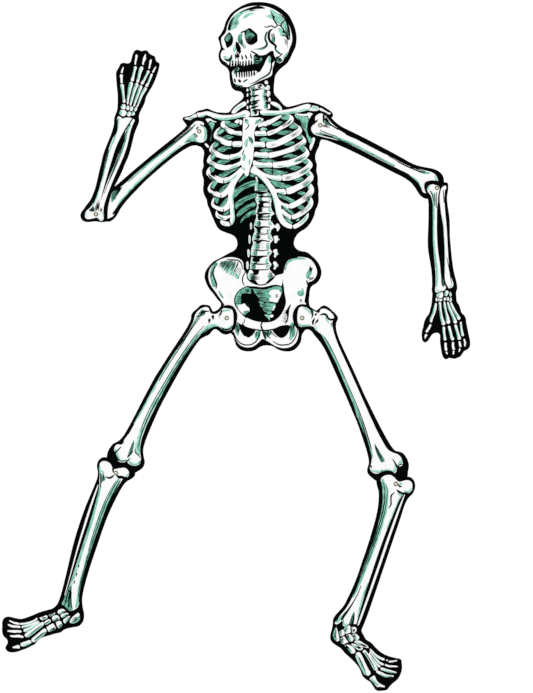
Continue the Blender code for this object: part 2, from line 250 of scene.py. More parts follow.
def pebble(text):
    """A small bone of a wrist or an ankle, kept inside its outline, as the black around it has spread."""
    points = numbers(text)
    middle = [sum(point[k] for point in points) / len(points) for k in (0, 1)]
    inner = [
        [middle[k] + (point[k] - middle[k]) * PEBBLE_SIZE for k in (0, 1)]
        for point in points
    ]
    return {"outline": rounded(inner, True), "tone": 0.0, "grain": 90}


def digit(text):
    """A long bone of a hand or a foot through "x,z,width" points, thinned as a pebble is."""
    return stroke(" ".join(f"{x},{z},{width * DIGIT_WIDTH}" for x, z, width in numbers(text)))


def line(text):
    """A black line through "x,z,width" points. The printing's lines have spread a little into the white."""
    return stroke(" ".join(f"{x},{z},{width * LINE_GAIN + LINE_BLEED}" for x, z, width in numbers(text)))


def wash(text, right, left=None):
    """A streaky green stroke through "x,z,width" points, with a tone for its right and one for its left."""
    return {"path": rounded(numbers(text), False), "tones": (right, right if left is None else left)}


def tinge(text, right, left=None):
    """A wash on a small bone of a hand or a foot, where the green takes up more of the bone."""
    wider = " ".join(f"{x},{z},{width * TINGE_WIDTH}" for x, z, width in numbers(text))
    return wash(wider, right + TINGE_TONE, left)


def hatch(text, count, width=1.1, tone=0.0):
    """Tapered lines filling the four-cornered patch a, b, c, d. The first runs a to b, the last d to c.

    Each is thickest near its start and trails off, and they differ in length as brushed lines do."""
    a, b, c, d = numbers(text)
    lines = []
    for i in range(count):
        t = i / max(count - 1, 1)
        short = HATCH_SHORT + HATCH_SHORT * sin(i * HATCH_SHORT_TURN)
        late = sin(i * HATCH_START_TURN)
        start = [d[k] * t + a[k] * (1 - t) + (b[k] - a[k]) * HATCH_START * late for k in (0, 1)]
        end = [c[k] * t + b[k] * (1 - t) - (b[k] - a[k]) * short for k in (0, 1)]
        near = [start[k] * (1 - HATCH_NEAR) + end[k] * HATCH_NEAR for k in (0, 1)]
        full = (width * HATCH_GAIN + HATCH_BLEED) * (1 + HATCH_VARY * sin(i * HATCH_VARY_TURN))
        path = [(*start, full * HATCH_HEAD), (*near, full), (*end, full * HATCH_TAIL)]
        right, left = edges_of(rounded(path, False, 3))
        turn = atan2(end[1] - start[1], end[0] - start[0])
        lines.append({"outline": right + left[::-1], "tone": tone, "grain": turn * 180 / pi})
    return lines


# ---------------------------------------------------------------- films of ink as meshes

def signed_area(outline):
    """The area within an outline, which is negative where it runs clockwise."""
    pairs = zip(outline, outline[1:] + outline[:1])
    return sum(a[0] * b[1] - b[0] * a[1] for a, b in pairs) / 2


def add_prism(film, mark, height):
    """Add an outlined mark to a film: a thin closed prism from inside the card up to that height."""
    outline = mark["outline"]
    if signed_area(outline) < 0:
        outline = outline[::-1]
    count = len(outline)
    base = len(film["points"])
    turn = radians(mark["grain"])
    for level in (height, ROOT):
        for x, z in outline:
            film["points"].append((x, z, level))
            along = x * cos(turn) + z * sin(turn)
            across = z * cos(turn) - x * sin(turn)
            film["marks"].append((along, across, mark["tone"]))
    film["faces"].append([base + i for i in range(count)])
    film["faces"].append([base + 2 * count - 1 - i for i in range(count)])
    for i in range(count):
        j = (i + 1) % count
        film["faces"].append([base + i, base + count + i, base + count + j, base + j])


def add_strip(film, mark, height, columns=5):
    """Add a mark along a path to a film. Its tone changes from one edge to the other."""
    path = mark["path"]
    right, left = edges_of(path)
    rows = len(path)
    base = len(film["points"])
    gone = 0.0
    for i in range(rows):
        if i:
            gone += hypot(path[i][0] - path[i - 1][0], path[i][1] - path[i - 1][1])
        for k in range(columns):
            t = k / (columns - 1)
            x = right[i][0] * (1 - t) + left[i][0] * t
            z = right[i][1] * (1 - t) + left[i][1] * t
            tone = mark["tones"][0] * (1 - t) + mark["tones"][1] * t
            film["points"].append((x, z, height))
            film["marks"].append((gone + path[0][1], t * path[i][2] + path[0][0], tone))
    for i in range(rows - 1):
        for k in range(columns - 1):
            a = base + i * columns + k
            film["faces"].append([a, a + 1, a + columns + 1, a + columns])
    border = [i * columns for i in range(rows)]
    border += [(rows - 1) * columns + k for k in range(1, columns)]
    border += [i * columns + columns - 1 for i in range(rows - 2, -1, -1)]
    border += [k for k in range(columns - 2, 0, -1)]
    low = len(film["points"])
    for number in border:
        x, z, _ = film["points"][base + number]
        film["points"].append((x, z, ROOT))
        film["marks"].append(film["marks"][base + number])
    count = len(border)
    film["faces"].append([low + i for i in range(count)])
    for i in range(count):
        j = (i + 1) % count
        film["faces"].append([base + border[j], base + border[i], low + i, low + j][::-1])


def film_of(name, body, place, layers, material):
    """One piece of printing: every mark of one ink on one card, if there is any.

    layers is [(height, marks), ...]."""
    film = {"points": [], "faces": [], "marks": []}
    for height, marks in layers:
        for i, mark in enumerate(marks):
            level = height + SPREAD * i / len(marks)
            if "path" in mark:
                add_strip(film, mark, level)
            else:
                add_prism(film, mark, level)
    if not film["points"]:
        return
    mesh = bpy.data.meshes.new(name)
    faces = film["faces"]
    # A mirrored drawing has its faces turned round, so that they still look outwards.
    if place.determinant() < 0:
        faces = [face[::-1] for face in faces]
    mesh.from_pydata([place @ Vector(point) for point in film["points"]], [], faces)
    grain = mesh.attributes.new("print", "FLOAT_VECTOR", "POINT")
    grain.data.foreach_set("vector", [part for mark in film["marks"] for part in mark])
    mesh.materials.append(material)
    piece = bpy.data.objects.new(name, mesh)
    bpy.context.scene.collection.objects.link(piece)
    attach(piece, body)


# ---------------------------------------------------------------- materials

def node_material(name):
    """A new material with its node tree and its shader."""
    material = bpy.data.materials.new(name)
    material.use_nodes = True
    tree = material.node_tree
    tree.nodes.clear()
    out = tree.nodes.new("ShaderNodeOutputMaterial")
    shader = tree.nodes.new("ShaderNodeBsdfPrincipled")
    tree.links.new(shader.outputs["BSDF"], out.inputs["Surface"])
    return material, tree, shader


def noise_of(tree, scale, detail=3.0, stretch=(1, 1, 1), vector=None):
    """Noise in the piece's own space; scale is features a metre, or a unit of the given vector."""
    if vector is None:
        vector = tree.nodes.new("ShaderNodeTexCoord").outputs["Object"]
    mapping = tree.nodes.new("ShaderNodeMapping")
    mapping.inputs["Scale"].default_value = stretch
    tree.links.new(vector, mapping.inputs["Vector"])
    texture = tree.nodes.new("ShaderNodeTexNoise")
    texture.inputs["Scale"].default_value = scale
    texture.inputs["Detail"].default_value = detail
    tree.links.new(mapping.outputs["Vector"], texture.inputs["Vector"])
    return texture.outputs["Fac"]


def ramp_of(tree, value, stops):
    """The colour at a value, from (position, (red, green, blue)) stops."""
    node = tree.nodes.new("ShaderNodeValToRGB")
    band = node.color_ramp
    while len(band.elements) < len(stops):
        band.elements.new(0.5)
    for element, (position, colour) in zip(band.elements, stops):
        element.position = position
        element.color = (*colour, 1)
    tree.links.new(value, node.inputs["Fac"])
    return node.outputs["Color"]


def maths(tree, kind, a, b):
    """The outcome of a Math node of that kind on two values, each a number or a socket."""
    node = tree.nodes.new("ShaderNodeMath")
    node.operation = kind
    for socket, value in zip(node.inputs, (a, b)):
        if isinstance(value, (int, float)):
            socket.default_value = value
        else:
            tree.links.new(value, socket)
    return node.outputs[0]


def paper_tooth(tree, shader, strength):
    """The fine tooth of printed card, as a bump."""
    bump = tree.nodes.new("ShaderNodeBump")
    bump.inputs["Strength"].default_value = strength
    bump.inputs["Distance"].default_value = TOOTH_DEPTH
    tree.links.new(noise_of(tree, TOOTH_SCALE), bump.inputs["Height"])
    tree.links.new(bump.outputs["Normal"], shader.inputs["Normal"])


def linear(red, green, blue):
    """A colour given as it shows on screen, 0 to 255, as the renderer wants it."""
    def part(value):
        value /= 255
        return value / 12.92 if value <= 0.04045 else ((value + 0.055) / 1.055) ** 2.4
    return part(red), part(green), part(blue)


def black_line_ink():
    """Flat black ink, a little uneven."""
    material, tree, shader = node_material("line_ink")
    colour = ramp_of(tree, noise_of(tree, 700), [(0.35, linear(2, 3, 3)), (0.75, linear(8, 9, 9))])
    tree.links.new(colour, shader.inputs["Base Color"])
    shader.inputs["Roughness"].default_value = 0.6
    shader.inputs["Specular IOR Level"].default_value = 0.01
    paper_tooth(tree, shader, 0.15)
    return material


def bone_white_ink():
    """White ink, with the faint green tint that the printing leaves in places."""
    material, tree, shader = node_material("bone_white_ink")
    cloud = noise_of(tree, 55, 4.0)
    fleck = noise_of(tree, 900, 2.0)
    both = maths(tree, "ADD", maths(tree, "MULTIPLY", cloud, 0.7), maths(tree, "MULTIPLY", fleck, 0.3))
    colour = ramp_of(tree, both, [
        (0.34, linear(238, 246, 241)), (0.44, linear(252, 253, 252)), (0.7, linear(255, 255, 254)),
    ])
    tree.links.new(colour, shader.inputs["Base Color"])
    rough = maths(tree, "ADD", maths(tree, "MULTIPLY", fleck, 0.2), 0.45)
    tree.links.new(rough, shader.inputs["Roughness"])
    shader.inputs["Specular IOR Level"].default_value = 0.3
    paper_tooth(tree, shader, 0.2)
    return material


def green_ink(name, lift):
    """Brushed green ink over white: the mark's tone, made deeper and paler by streaks along its grain."""
    share, middle, contrast = 0.75, 0.79, 1.9
    material, tree, shader = node_material(name)
    mark = tree.nodes.new("ShaderNodeAttribute")
    mark.attribute_name = "print"
    split = tree.nodes.new("ShaderNodeSeparateXYZ")
    tree.links.new(mark.outputs["Vector"], split.inputs["Vector"])
    broad = noise_of(tree, 1.0, 2.0, (0.045, 0.55, 0), mark.outputs["Vector"])
    fine = noise_of(tree, 1.0, 2.0, (0.09, 1.7, 0), mark.outputs["Vector"])
    streak = maths(tree, "ADD", maths(tree, "MULTIPLY", broad, share), maths(tree, "MULTIPLY", fine, share))
    swing = maths(tree, "MULTIPLY", maths(tree, "SUBTRACT", streak, middle), contrast)
    tone = maths(tree, "ADD", maths(tree, "ADD", split.outputs["Z"], swing), lift)
    colour = ramp_of(tree, tone, [
        (0.10, linear(252, 254, 253)), (0.24, linear(198, 237, 222)), (0.42, linear(140, 213, 189)),
        (0.66, linear(110, 190, 165)), (0.84, linear(66, 124, 105)), (0.95, linear(10, 24, 20)),
    ])
    tree.links.new(colour, shader.inputs["Base Color"])
    shader.inputs["Roughness"].default_value = 0.55
    shader.inputs["Specular IOR Level"].default_value = 0.2
    paper_tooth(tree, shader, 0.2)
    return material


def printed_card():
    """Card printed black on the front; bare grey-white board with fibres behind and on the cut edge."""
    material, tree, shader = node_material("printed_card")
    black = ramp_of(tree, noise_of(tree, 600), [(0.35, linear(2, 3, 3)), (0.75, linear(8, 9, 9))])
    fibre = noise_of(tree, 160, 5.0, (1, 6, 5))
    speck = noise_of(tree, 1500, 2.0)
    pulp = maths(tree, "ADD", maths(tree, "MULTIPLY", fibre, 0.6), maths(tree, "MULTIPLY", speck, 0.4))
    board = ramp_of(tree, pulp, [
        (0.32, linear(178, 173, 160)), (0.48, linear(206, 202, 191)), (0.68, linear(224, 221, 212)),
    ])
    facing = tree.nodes.new("ShaderNodeNewGeometry")
    split = tree.nodes.new("ShaderNodeSeparateXYZ")
    tree.links.new(facing.outputs["True Normal"], split.inputs["Vector"])
    faces_front = -0.7
    front = maths(tree, "LESS_THAN", split.outputs["Y"], faces_front)
    mix = tree.nodes.new("ShaderNodeMix")
    mix.data_type = "RGBA"
    # A Mix node has its factor at input 0, its two colours at inputs 6 and 7, and its colour at output 2.
    tree.links.new(front, mix.inputs[0])
    tree.links.new(board, mix.inputs[6])
    tree.links.new(black, mix.inputs[7])
    tree.links.new(mix.outputs[2], shader.inputs["Base Color"])
    rough = maths(tree, "SUBTRACT", 0.85, maths(tree, "MULTIPLY", front, 0.25))
    tree.links.new(rough, shader.inputs["Roughness"])
    gloss = maths(tree, "SUBTRACT", 0.25, maths(tree, "MULTIPLY", front, 0.24))
    tree.links.new(gloss, shader.inputs["Specular IOR Level"])
    paper_tooth(tree, shader, 0.3)
    return material


def eyelet_brass():
    """Dull brass, darkened in places by tarnish, with brighter patches that are painted highlights."""
    material, tree, shader = node_material("eyelet_brass")
    cloud = noise_of(tree, 420, 4.0)
    # Painted highlight: the ramp runs from dark tarnish through the brass to bright patches that stand in
    # for highlights, placed at random by the noise.
    colour = ramp_of(tree, cloud, [
        (0.3, linear(84, 78, 58)), (0.5, linear(128, 122, 96)), (0.72, linear(176, 164, 122)),
    ])
    tree.links.new(colour, shader.inputs["Base Color"])
    shader.inputs["Metallic"].default_value = 1.0
    rough = maths(tree, "ADD", maths(tree, "MULTIPLY", noise_of(tree, 1800), 0.25), 0.22)
    tree.links.new(rough, shader.inputs["Roughness"])
    return material


# ---------------------------------------------------------------- eyelets

def eyelet_profile(back, front):
    """An eyelet's closed section as (radius, depth, petal), where petal is 1 on the rim that is split."""
    roll = EYELET_LIP / 2
    wall = EYELET_BORE + EYELET_WALL
    bevel = EYELET_BEVEL
    profile = []
    for k in range(ROLL_STEPS + 1):
        turn = pi / 2 - pi * k / ROLL_STEPS
        profile.append((EYELET_FLANGE - roll + roll * cos(turn), front + roll - roll * sin(turn), 0.0))
    profile += [(wall, front + 2 * roll, 0.0), (wall, back - 2 * roll, 0.0)]
    for k in range(ROLL_STEPS + 1):
        turn = -pi / 2 + pi * k / ROLL_STEPS
        profile.append((EYELET_RIM - roll + roll * cos(turn), back - roll + roll * sin(turn), 1.0))
    profile += [(EYELET_BORE + bevel, back, 0.0), (EYELET_BORE, back - bevel, 0.0)]
    profile += [(EYELET_BORE, front + bevel, 0.0), (EYELET_BORE + bevel, front, 0.0)]
    return profile


def eyelet(name, body, centre, back, front, material):
    """A brass eyelet through its cards: a rolled flange in front, a clinched rim split in six behind."""
    profile = eyelet_profile(back, front)
    rings = len(profile)
    petal_points = AROUND // PETALS
    points, faces = [], []
    for i in range(AROUND):
        turn = 2 * pi * i / AROUND
        split = max(0.0, 1 - abs(i % petal_points - petal_points / 2) / SPLIT_HALF)
        for radius, depth, petal in profile:
            radius -= petal * split * SPLIT_DEPTH
            x = centre[0] + radius * cos(turn) * MM
            z = centre[2] + radius * sin(turn) * MM
            points.append((x, depth * MM, z))
        here, there = i * rings, (i + 1) % AROUND * rings
        for k in range(rings):
            beyond = (k + 1) % rings
            faces.append([here + k, here + beyond, there + beyond, there + k])
    mesh = bpy.data.meshes.new(name)
    mesh.from_pydata(points, [], faces)
    mesh.materials.append(material)
    for face in mesh.polygons:
        face.use_smooth = True
    piece = bpy.data.objects.new(name, mesh)
    bpy.context.scene.collection.objects.link(piece)
    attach(piece, body)
    return piece


# The next five sections are the drawings. Each function adds its marks to the inks of one card, and
# DRAWINGS says which of them are the steps of which card.

# ---------------------------------------------------------------- drawings of the arms

def right_upper_arm(ink):
    ink["bone"] += [
        area("-20,3 -19.5,8 -15,13.5 -9,17 -5,16 -3.5,12.5 0,13 6,12 12,10 17,6 21,1 22,-5 20,-11 "
             "15,-15 10,-19 7,-23 4,-30 2,-40 1,-50 0.5,-70 0.5,-90 1,-110 2,-125 3,-140 5,-160 "
             "7.5,-180 10,-198 13,-212 17,-224 21,-233 24,-240 23,-248 18,-257 8,-264 -2,-268 -14,-264 "
             "-20,-255 -21,-242 -17,-222 -13,-208 -11.5,-192 -12,-170 -14,-150 -15.5,-130 -16,-100 "
             "-16,-60 -17,-30 -18.5,-10"),
    ]
    ink["wash"] += [
        wash("-16,3,1.5 -13.5,-10,3.5 -13,-30,4.5 -13,-60,4.5 -13.5,-90,4.2 -13,-120,3.6 -11.5,-150,3 "
             "-10,-175,2", 0.6, 0.75),
        area("-10,-190 -6,-198 -3,-207 0,-215 1,-225 -5,-222 -10,-217 -14,-211 -12,-200", 0.9, 70),
        wash("-1,-45,2 -1.2,-70,3.6 -1,-100,3.8 0,-130,3.8 2,-155,3.8 4,-175,3.8 7,-195,3.8 10,-210,3.4 "
             "13,-222,2", 0.35, 0.6),
        wash("-6,9,1.5 0,12,3 7,10.5,5 13,6,5 18,0,4 20,-5,2", 0.45, 0.6),
        area("-3,-10 2,-13 8,-15 16,-14 20,-12 14,-17 9,-20 6,-26 3,-35 0,-38 -3,-30 -4,-20", 0.52, 75),
        wash("-18,-240,2 -16,-252,4 -8,-261,4.5 2,-263,4 10,-259,3 17,-252,2", 0.65, 0.3),
    ]
    ink["line"] += [
        line("-15,2,0.6 -14.6,-25,1.4 -15,-60,1.4 -15.6,-100,1.3 -15,-140,1.1 -13,-185,1.2"),
        line("-17.4,-8,0.6 -17.4,-60,1 -17,-120,1 -15,-150,0.5"),
        line("-12.6,-6,0.3 -12.4,-50,0.6 -12.6,-90,0.3"),
        line("2.6,-60,0.5 2.8,-110,1.2 4.6,-150,1.2 8,-185,1 12,-208,0.6"),
        line("10,-198,0.4 14,-216,1.2 20,-238,1.2"),
        line("13,-206,0.4 17,-222,1 22,-238,0.6"),
        *hatch("-10,-190 -1,-222 -10,-216 -12,-196", 5, 0.9),
        *hatch("-1,-38 2,-16 8,-17 5,-26", 4, 0.4),
        line("-9,10,0.8 -6,11,1.6 -4,12,1"),
        line("-8,4,1 -7.5,1,1.8 -7,-2,0.8"),
        *hatch("-2,-8 -3,-16 5,-18 6,-8", 5, 0.7),
        *hatch("12,-208 17,-232 20,-237 15,-212", 4, 0.8),
    ]


def left_upper_arm(ink):
    ink["bone"] += [
        area("-22.5,5 -21,11 -16,15 -11,16.5 -6,15 -2,11 3,11 8,13.5 13,13.5 18,10 21,4 21,-3 19,-11 "
             "17,-20 14,-30 11.5,-40 8.5,-50 7,-60 5.5,-80 5,-110 4.5,-140 3.5,-170 2.5,-200 3.5,-212 "
             "6,-222 10,-231 17,-239 20.5,-244 20,-250 14,-260 4,-266 -8,-264 -17,-257 -22,-248 "
             "-22,-238 -18,-222 -14,-205 -12,-185 -11,-160 -10.5,-140 -11,-100 -11,-55 -11.5,-35 "
             "-14,-20 -18,-9 -22,1"),
    ]
    ink["wash"] += [
        wash("19,2,2 15,-10,4.5 11,-25,5 7,-42,5 4,-60,5 2.5,-80,4.6 2,-110,4.4 1.5,-140,4.2 "
             "1.5,-170,3.6", 0.6, 0.85),
        wash("3,-205,2 6,-222,3.5 11,-232,3.5 18,-241,2", 0.4, 0.6),
        area("-18,-1 -10,-4 -8,-10 -9,-20 -11,-15 -15,-8", 0.95, 70),
        area("-10,-218 -12,-228 -15,-235 -19,-239 -20,-236 -17,-226 -14,-219", 0.65, 70),
        wash("-20,-247,2 -14,-256,4 -5,-260,4.5 6,-260,4 15,-252,2", 0.55, 0.3),
    ]
    ink["line"] += [
        line("13,-16,0.5 10,-35,0.9 7.6,-55,1 6.2,-80,0.9 5.6,-110,0.8 5.2,-150,0.7 4.6,-190,0.5"),
        line("18,-3,0.6 14,-20,1 10,-36,0.6"),
        line("-12,-14,0.6 -10.4,-30,1.2 -10.2,-60,1 -10.4,-110,0.7 -10.6,-140,0.3"),
        line("-12,-135,0.3 -12,-165,0.7 -12.6,-192,0.8 -15,-214,0.9 -17.6,-228,0.5"),
        line("-10,-150,0.3 -10,-175,0.6 -10.8,-198,0.7 -13.4,-220,0.6 -15.4,-230,0.3"),
        line("-8.6,-170,0.3 -9,-192,0.5 -11.4,-216,0.5 -13.4,-228,0.3"),
        line("5.6,-208,0.6 9,-224,1.4 14,-233,1.4 19,-240,0.8"),
        *hatch("-20,0 -13,-18 -10,-16 -14,-2", 4, 0.8),
        line("-23,4,2.5 -18,2,2.6 -12,-1,2 -8,-3,1"),
        line("-7,10,1 -4,10.4,2 -1,10,1"),
        line("-17,-3,0.8 -11,-18,1.4 -9,-35,0.6"),
        line("9,-4,0.5 8,-18,1 4,-40,0.5"),
        line("13,-6,0.5 12,-18,1 8,-34,0.5"),
        *hatch("-8,-4 -8,-22 -3,-22 -1,-5", 4, 0.8),
        *hatch("-9.5,-45 -10.2,-85 -9,-88 -8.2,-48", 2, 0.6),
        *hatch("-13,-168 -13,-190 -10,-190 -10,-170", 2, 0.6),
        *hatch("-13,-196 -14,-218 -11,-218 -10,-196", 3, 0.6),
    ]


def right_hand_bones(ink):
    ink["bone"] += [
        pebble("-11.5,-214 -9,-211 -5.5,-209.5 -4.5,-213 -5,-217 -7,-219 -10,-217.5"),
        pebble("-4,-209 -2,-206.5 1.5,-206.5 4,-209 4,-213.5 1.5,-216 -2,-216 -4,-213"),
        pebble("5,-209 6.5,-204.5 10,-202.5 14,-203 18.5,-206 19.5,-210 18,-214 14,-215 11,-216.5 "
               "7,-214.5 5,-213"),
        pebble("-12.5,-226 -12,-221.5 -9.5,-219.5 -7,-221 -6.5,-225 -8,-229 -11.5,-229"),
        pebble("-4.5,-219.5 -1,-217.5 1.5,-219.5 2,-223.5 1,-227 -2,-228 -4.5,-225.5"),
        pebble("3,-218.5 6,-217.5 9,-219 9.5,-223.5 8,-226.5 5,-226.5 3,-223.5"),
        pebble("10.5,-217.5 15,-216 19,-217.5 20,-222 18,-226.5 13,-227 10.5,-223"),
        digit("-11,-231,3.6 -11.5,-240,4.5 -12.3,-250,4.6 -13.5,-260,5.5 -15.3,-269,8"),
        digit("-4.5,-230,3.6 -4.2,-240,5.2 -4.8,-250,5.3 -5.2,-260,6.2 -5.3,-270,8"),
        digit("2.5,-229,3.2 3.8,-238,5.5 4.3,-250,6.4 4.2,-262,7 3.6,-272,8"),
        digit("9,-230,3.6 11.3,-240,5 12.8,-250,6 14,-260,7.5 14.8,-270,9"),
        digit("17,-232,6.5 20.3,-239,5 24.2,-247.5,5.5 27.8,-255.5,6.2 30.6,-260.5,9"),
        digit("-16,-276,6.6 -17.5,-285,4.5 -18.3,-295,4.8 -18.5,-300,5.5"),
        digit("-19.3,-306,4 -20.5,-312,3.5 -21.3,-317,2.5"),
        digit("-6,-278,6.6 -7.6,-286,5 -9,-296,4.8 -10.2,-303.5,6.5"),
        digit("-9.7,-311,3.6 -9,-319,3.8 -8,-325,5 -8.6,-328,2.5"),
        digit("3.8,-278.5,6.2 4.2,-287,6.2 4.8,-297,6.2 4.8,-306,8.6"),
        digit("4.5,-315,4.4 5.2,-319,4 5,-326,7 5.8,-331,4 5.7,-334,2.6"),
        digit("14.8,-278,7.4 15.5,-286,5.6 16.3,-296,5 17,-303,7.5"),
        digit("19.3,-310,3.6 20.5,-316,4 21,-322,4.5 22,-326,5.5 22.7,-328,3"),
        digit("33.8,-267,5.4 36,-273,5 38.4,-279,7.2"),
        digit("39.8,-286,4.4 40,-291,4 39.8,-296,2.4"),
    ]


def right_hand_greens(ink):
    ink["wash"] += [
        tinge("-6,-211,1.5 -5.6,-214,2.4 -7,-217,1.6", 0.5),
        tinge("2.5,-208,1.5 2.8,-211,2.6 1.5,-214.5,1.5", 0.6),
        tinge("15,-204.5,1.5 17,-208,4 16,-212,2.4", 0.5, 0.7),
        tinge("-8.5,-221,1.4 -7.8,-225,2.2 -9,-228,1.2", 0.6),
        tinge("0,-219.5,1.2 0.6,-223,2 -0.6,-226.5,1.2", 0.5),
        tinge("7.8,-219.5,1.2 8,-223,2 7,-225.5,1.2", 0.4),
        tinge("17.5,-218.5,1.2 18,-222,2.6 16.5,-225.5,1.4", 0.5),
        tinge("-10,-233,1 -10.4,-242,1.6 -11,-252,1.8 -12,-261,2 -13.6,-270,2.4", 0.45),
        tinge("-3.2,-233,1 -2.9,-242,1.8 -3.4,-252,2 -3.4,-262,2.2 -2.8,-271,2.2", 0.55),
        tinge("4.2,-233,1 5.6,-242,2 6.2,-252,2.2 6.2,-262,2.2 5.8,-272,2.2", 0.6),
        tinge("10.6,-233,1 12.9,-242,1.8 14.6,-252,2.2 16.4,-262,2.6 17.4,-271,2.4", 0.5),
        tinge("19.4,-233,1.4 22,-240,1.8 26,-248,2 29.8,-255,2.2 33,-260,2.4", 0.5),
        tinge("4.5,-281,1.4 6.2,-290,2 6.8,-300,2.2 7,-307,2.2", 0.45),
        tinge("-6,-281,1.2 -6.6,-288,1.5 -8,-297,1.5 -8.2,-303,1.8", 0.45),
        tinge("16.4,-281,1.4 17,-289,1.6 17.8,-298,1.5 19,-304,1.8", 0.45),
        tinge("-16,-279,1.2 -16.4,-288,1.3 -17,-297,1.3", 0.4),
    ]


def right_forearm(ink):
    ink["bone"] += [
        area("-17,3 -16,8 -12,9.5 -7,6.5 -3,6 2,9 9,13 15,14.5 19,12 21,5 20,-1 17,-6 14,-13 12,-22 "
             "11,-35 10.5,-50 11,-65 13,-80 15,-100 16,-120 16.5,-140 15,-160 15,-172 16,-182 18,-190 "
             "19.5,-196 19,-200 14,-200 9,-198.5 5,-201.5 0,-203.5 -7,-205 -12,-204.5 -15,-202 -14,-195 "
             "-13.5,-185 -14,-175 -15.5,-160 -16.5,-145 -16,-125 -14,-105 -12,-85 -10.5,-65 -9.5,-45 "
             "-9.5,-25 -11,-15 -14,-5"),
    ]
    ink["wash"] += [
        wash("-3,-65,1.5 -4.6,-85,2.6 -6.4,-105,3.6 -7.8,-125,4.2 -8.3,-145,4.5 -7.8,-162,4.5 "
             "-7.5,-180,5 -9,-192,3", 0.5, 0.85),
        wash("12,-14,2.4 10,-25,3 9.5,-40,3 9.5,-60,3 10.5,-78,3.2 12,-95,3.5 13.3,-110,3.5 14,-125,3.5 "
             "13.6,-140,3.5 12.6,-155,3.5 12.5,-168,4 13.5,-180,4.5 15.5,-190,4.5 "
             "16.5,-197,3", 0.35, 0.65),
        area("5,-5 9,-2.5 16,-3 13,-9 11,-14 9,-13 7,-8", 1.0, 70),
        wash("-15,3,1.4 -13.5,6,2.6 -11,8,1.4", 0.4),
        wash("-15.5,0,1.2 -13.5,-5,2.4 -11.5,-9,1.2", 0.6),
        wash("15.5,13,1.4 18.4,8,2.6 19,2,1.6", 0.4),
    ]
    ink["line"] += [
        line("-2.6,-45,0.3 -4.4,-75,0.6 -6.2,-105,0.8 -7,-135,1 -6.8,-162,1 -6,-182,0.6"),
        line("-5,-75,0.2 -8.6,-110,0.4 -10.4,-140,0.5 -10,-165,0.3"),
        line("14,-158,0.5 15,-170,1.8 16,-184,1.2 18,-194,0.5"),
        line("12,-20,0.6 11,-45,1 11.6,-70,0.8 14,-100,0.8 15.4,-130,0.8"),
        *hatch("5,-3 9,-15 14,-10 14,-3", 4, 0.8),
        area("-0.5,-30 -0.5,-30 -1,-60 -2,-80 -4,-100 -5,-120 -6,-140 -6,-155 -5,-170 -3,-180 -3,-180 "
             "-2,-180 1,-165 2.5,-155 4,-140 4,-120 3.5,-100 3,-80 2,-60 0.5,-35"),
        line("-2.5,-178,1.6 -6,-190,1.6 -9,-201,1.4 -9.4,-205,1.6"),
        line("12.6,-164,0.5 13,-172,1.4 14,-181,0.5"),
        *hatch("-8.5,-7 -7,-20 -5,-20 -6,-7", 2, 1.0),
        *hatch("-2,-7 1,-34 6,-33 5,-7", 5, 0.7),
    ]


def left_hand_bones(ink):
    ink["bone"] += [
        pebble("-20.5,-214 -19.5,-210 -17,-209 -16,-212 -16,-216.5 -18,-218.5 -20.5,-217"),
        pebble("-15,-208 -12,-205.5 -8,-206.5 -6.5,-211 -7,-216 -10,-217.5 -13,-214.5 -14.5,-211.5"),
        pebble("-4,-212 -2.5,-208.5 1,-209 5,-210 9.5,-212.5 10,-216.5 6,-219.5 1,-221 -2.5,-219.5 "
               "-4,-216"),
        pebble("-20.5,-222 -19,-219.5 -17.5,-221.5 -16.5,-226 -15,-229 -18,-229.5 -20.5,-226.5"),
        pebble("-15.5,-222 -13.5,-219 -10.5,-219.5 -10,-223 -11.5,-226.5 -14.5,-226"),
        pebble("-9,-221.5 -6,-219 -4.5,-222 -5,-225.5 -8,-225.5"),
        pebble("-1.5,-222.5 3,-221.5 7.5,-221 8,-225 5,-227 0,-227 -1.5,-225"),
        pebble("9,-220 11,-219 12,-224 10,-227.5 8.8,-225"),
        digit("-19,-232,4.4 -22,-240,5.5 -26.8,-250,5 -31,-257.5,6.5 -33,-262,8"),
        digit("-12.4,-230.5,3.8 -14.8,-240,5.5 -19,-250,5 -23.2,-260,5.5 -25.6,-269,8.5"),
        digit("-5.6,-229,3.6 -6.4,-238,5 -8.2,-249,4.6 -10.8,-259,6 -11.6,-268.5,9.5"),
        digit("3.4,-231,5.6 3.2,-240,5.2 2,-252,5 0.4,-262,6 -2,-271.5,8.6"),
        digit("11.6,-232,4.6 13.6,-242,6 17,-252,5.4 21,-260,6 22.6,-266,5.6"),
        digit("-36.8,-271,4 -37.2,-279,4 -38.4,-289,4.4 -39.6,-296,6"),
        digit("-42.3,-305.5,3.6 -43.6,-312,4.4 -42.6,-318,3"),
        digit("-26.2,-277,6 -28.4,-285,5 -30.8,-295,5.4 -32.4,-302,8"),
        digit("-32.6,-310,4.6 -33.6,-317,5 -34.4,-318.5,4"),
        digit("-32.5,-324,3.6 -31.2,-328.5,2.8"),
        digit("-13,-279,5.8 -15.2,-288,5.4 -17.2,-298,5.4 -19,-303,7.4"),
        digit("-19.5,-311.5,5.4 -19.3,-318,5.2 -20.3,-323,6"),
        digit("-20,-328.5,4.4 -19.3,-333,3.2"),
        digit("-2.4,-280.5,6.2 -2.6,-289,4.8 -3.6,-298,4.8 -4,-303,6.4"),
        digit("-4.5,-312,5.6 -4.4,-318,5.2 -5,-324,6"),
        digit("-5.8,-329.5,4 -6.9,-332.5,2.8"),
        digit("24.4,-274,5 27.6,-280,5 32,-286,5.4"),
        pebble("30.5,-293 34,-291 36.5,-293 37,-298 36,-301 33.5,-297"),
    ]


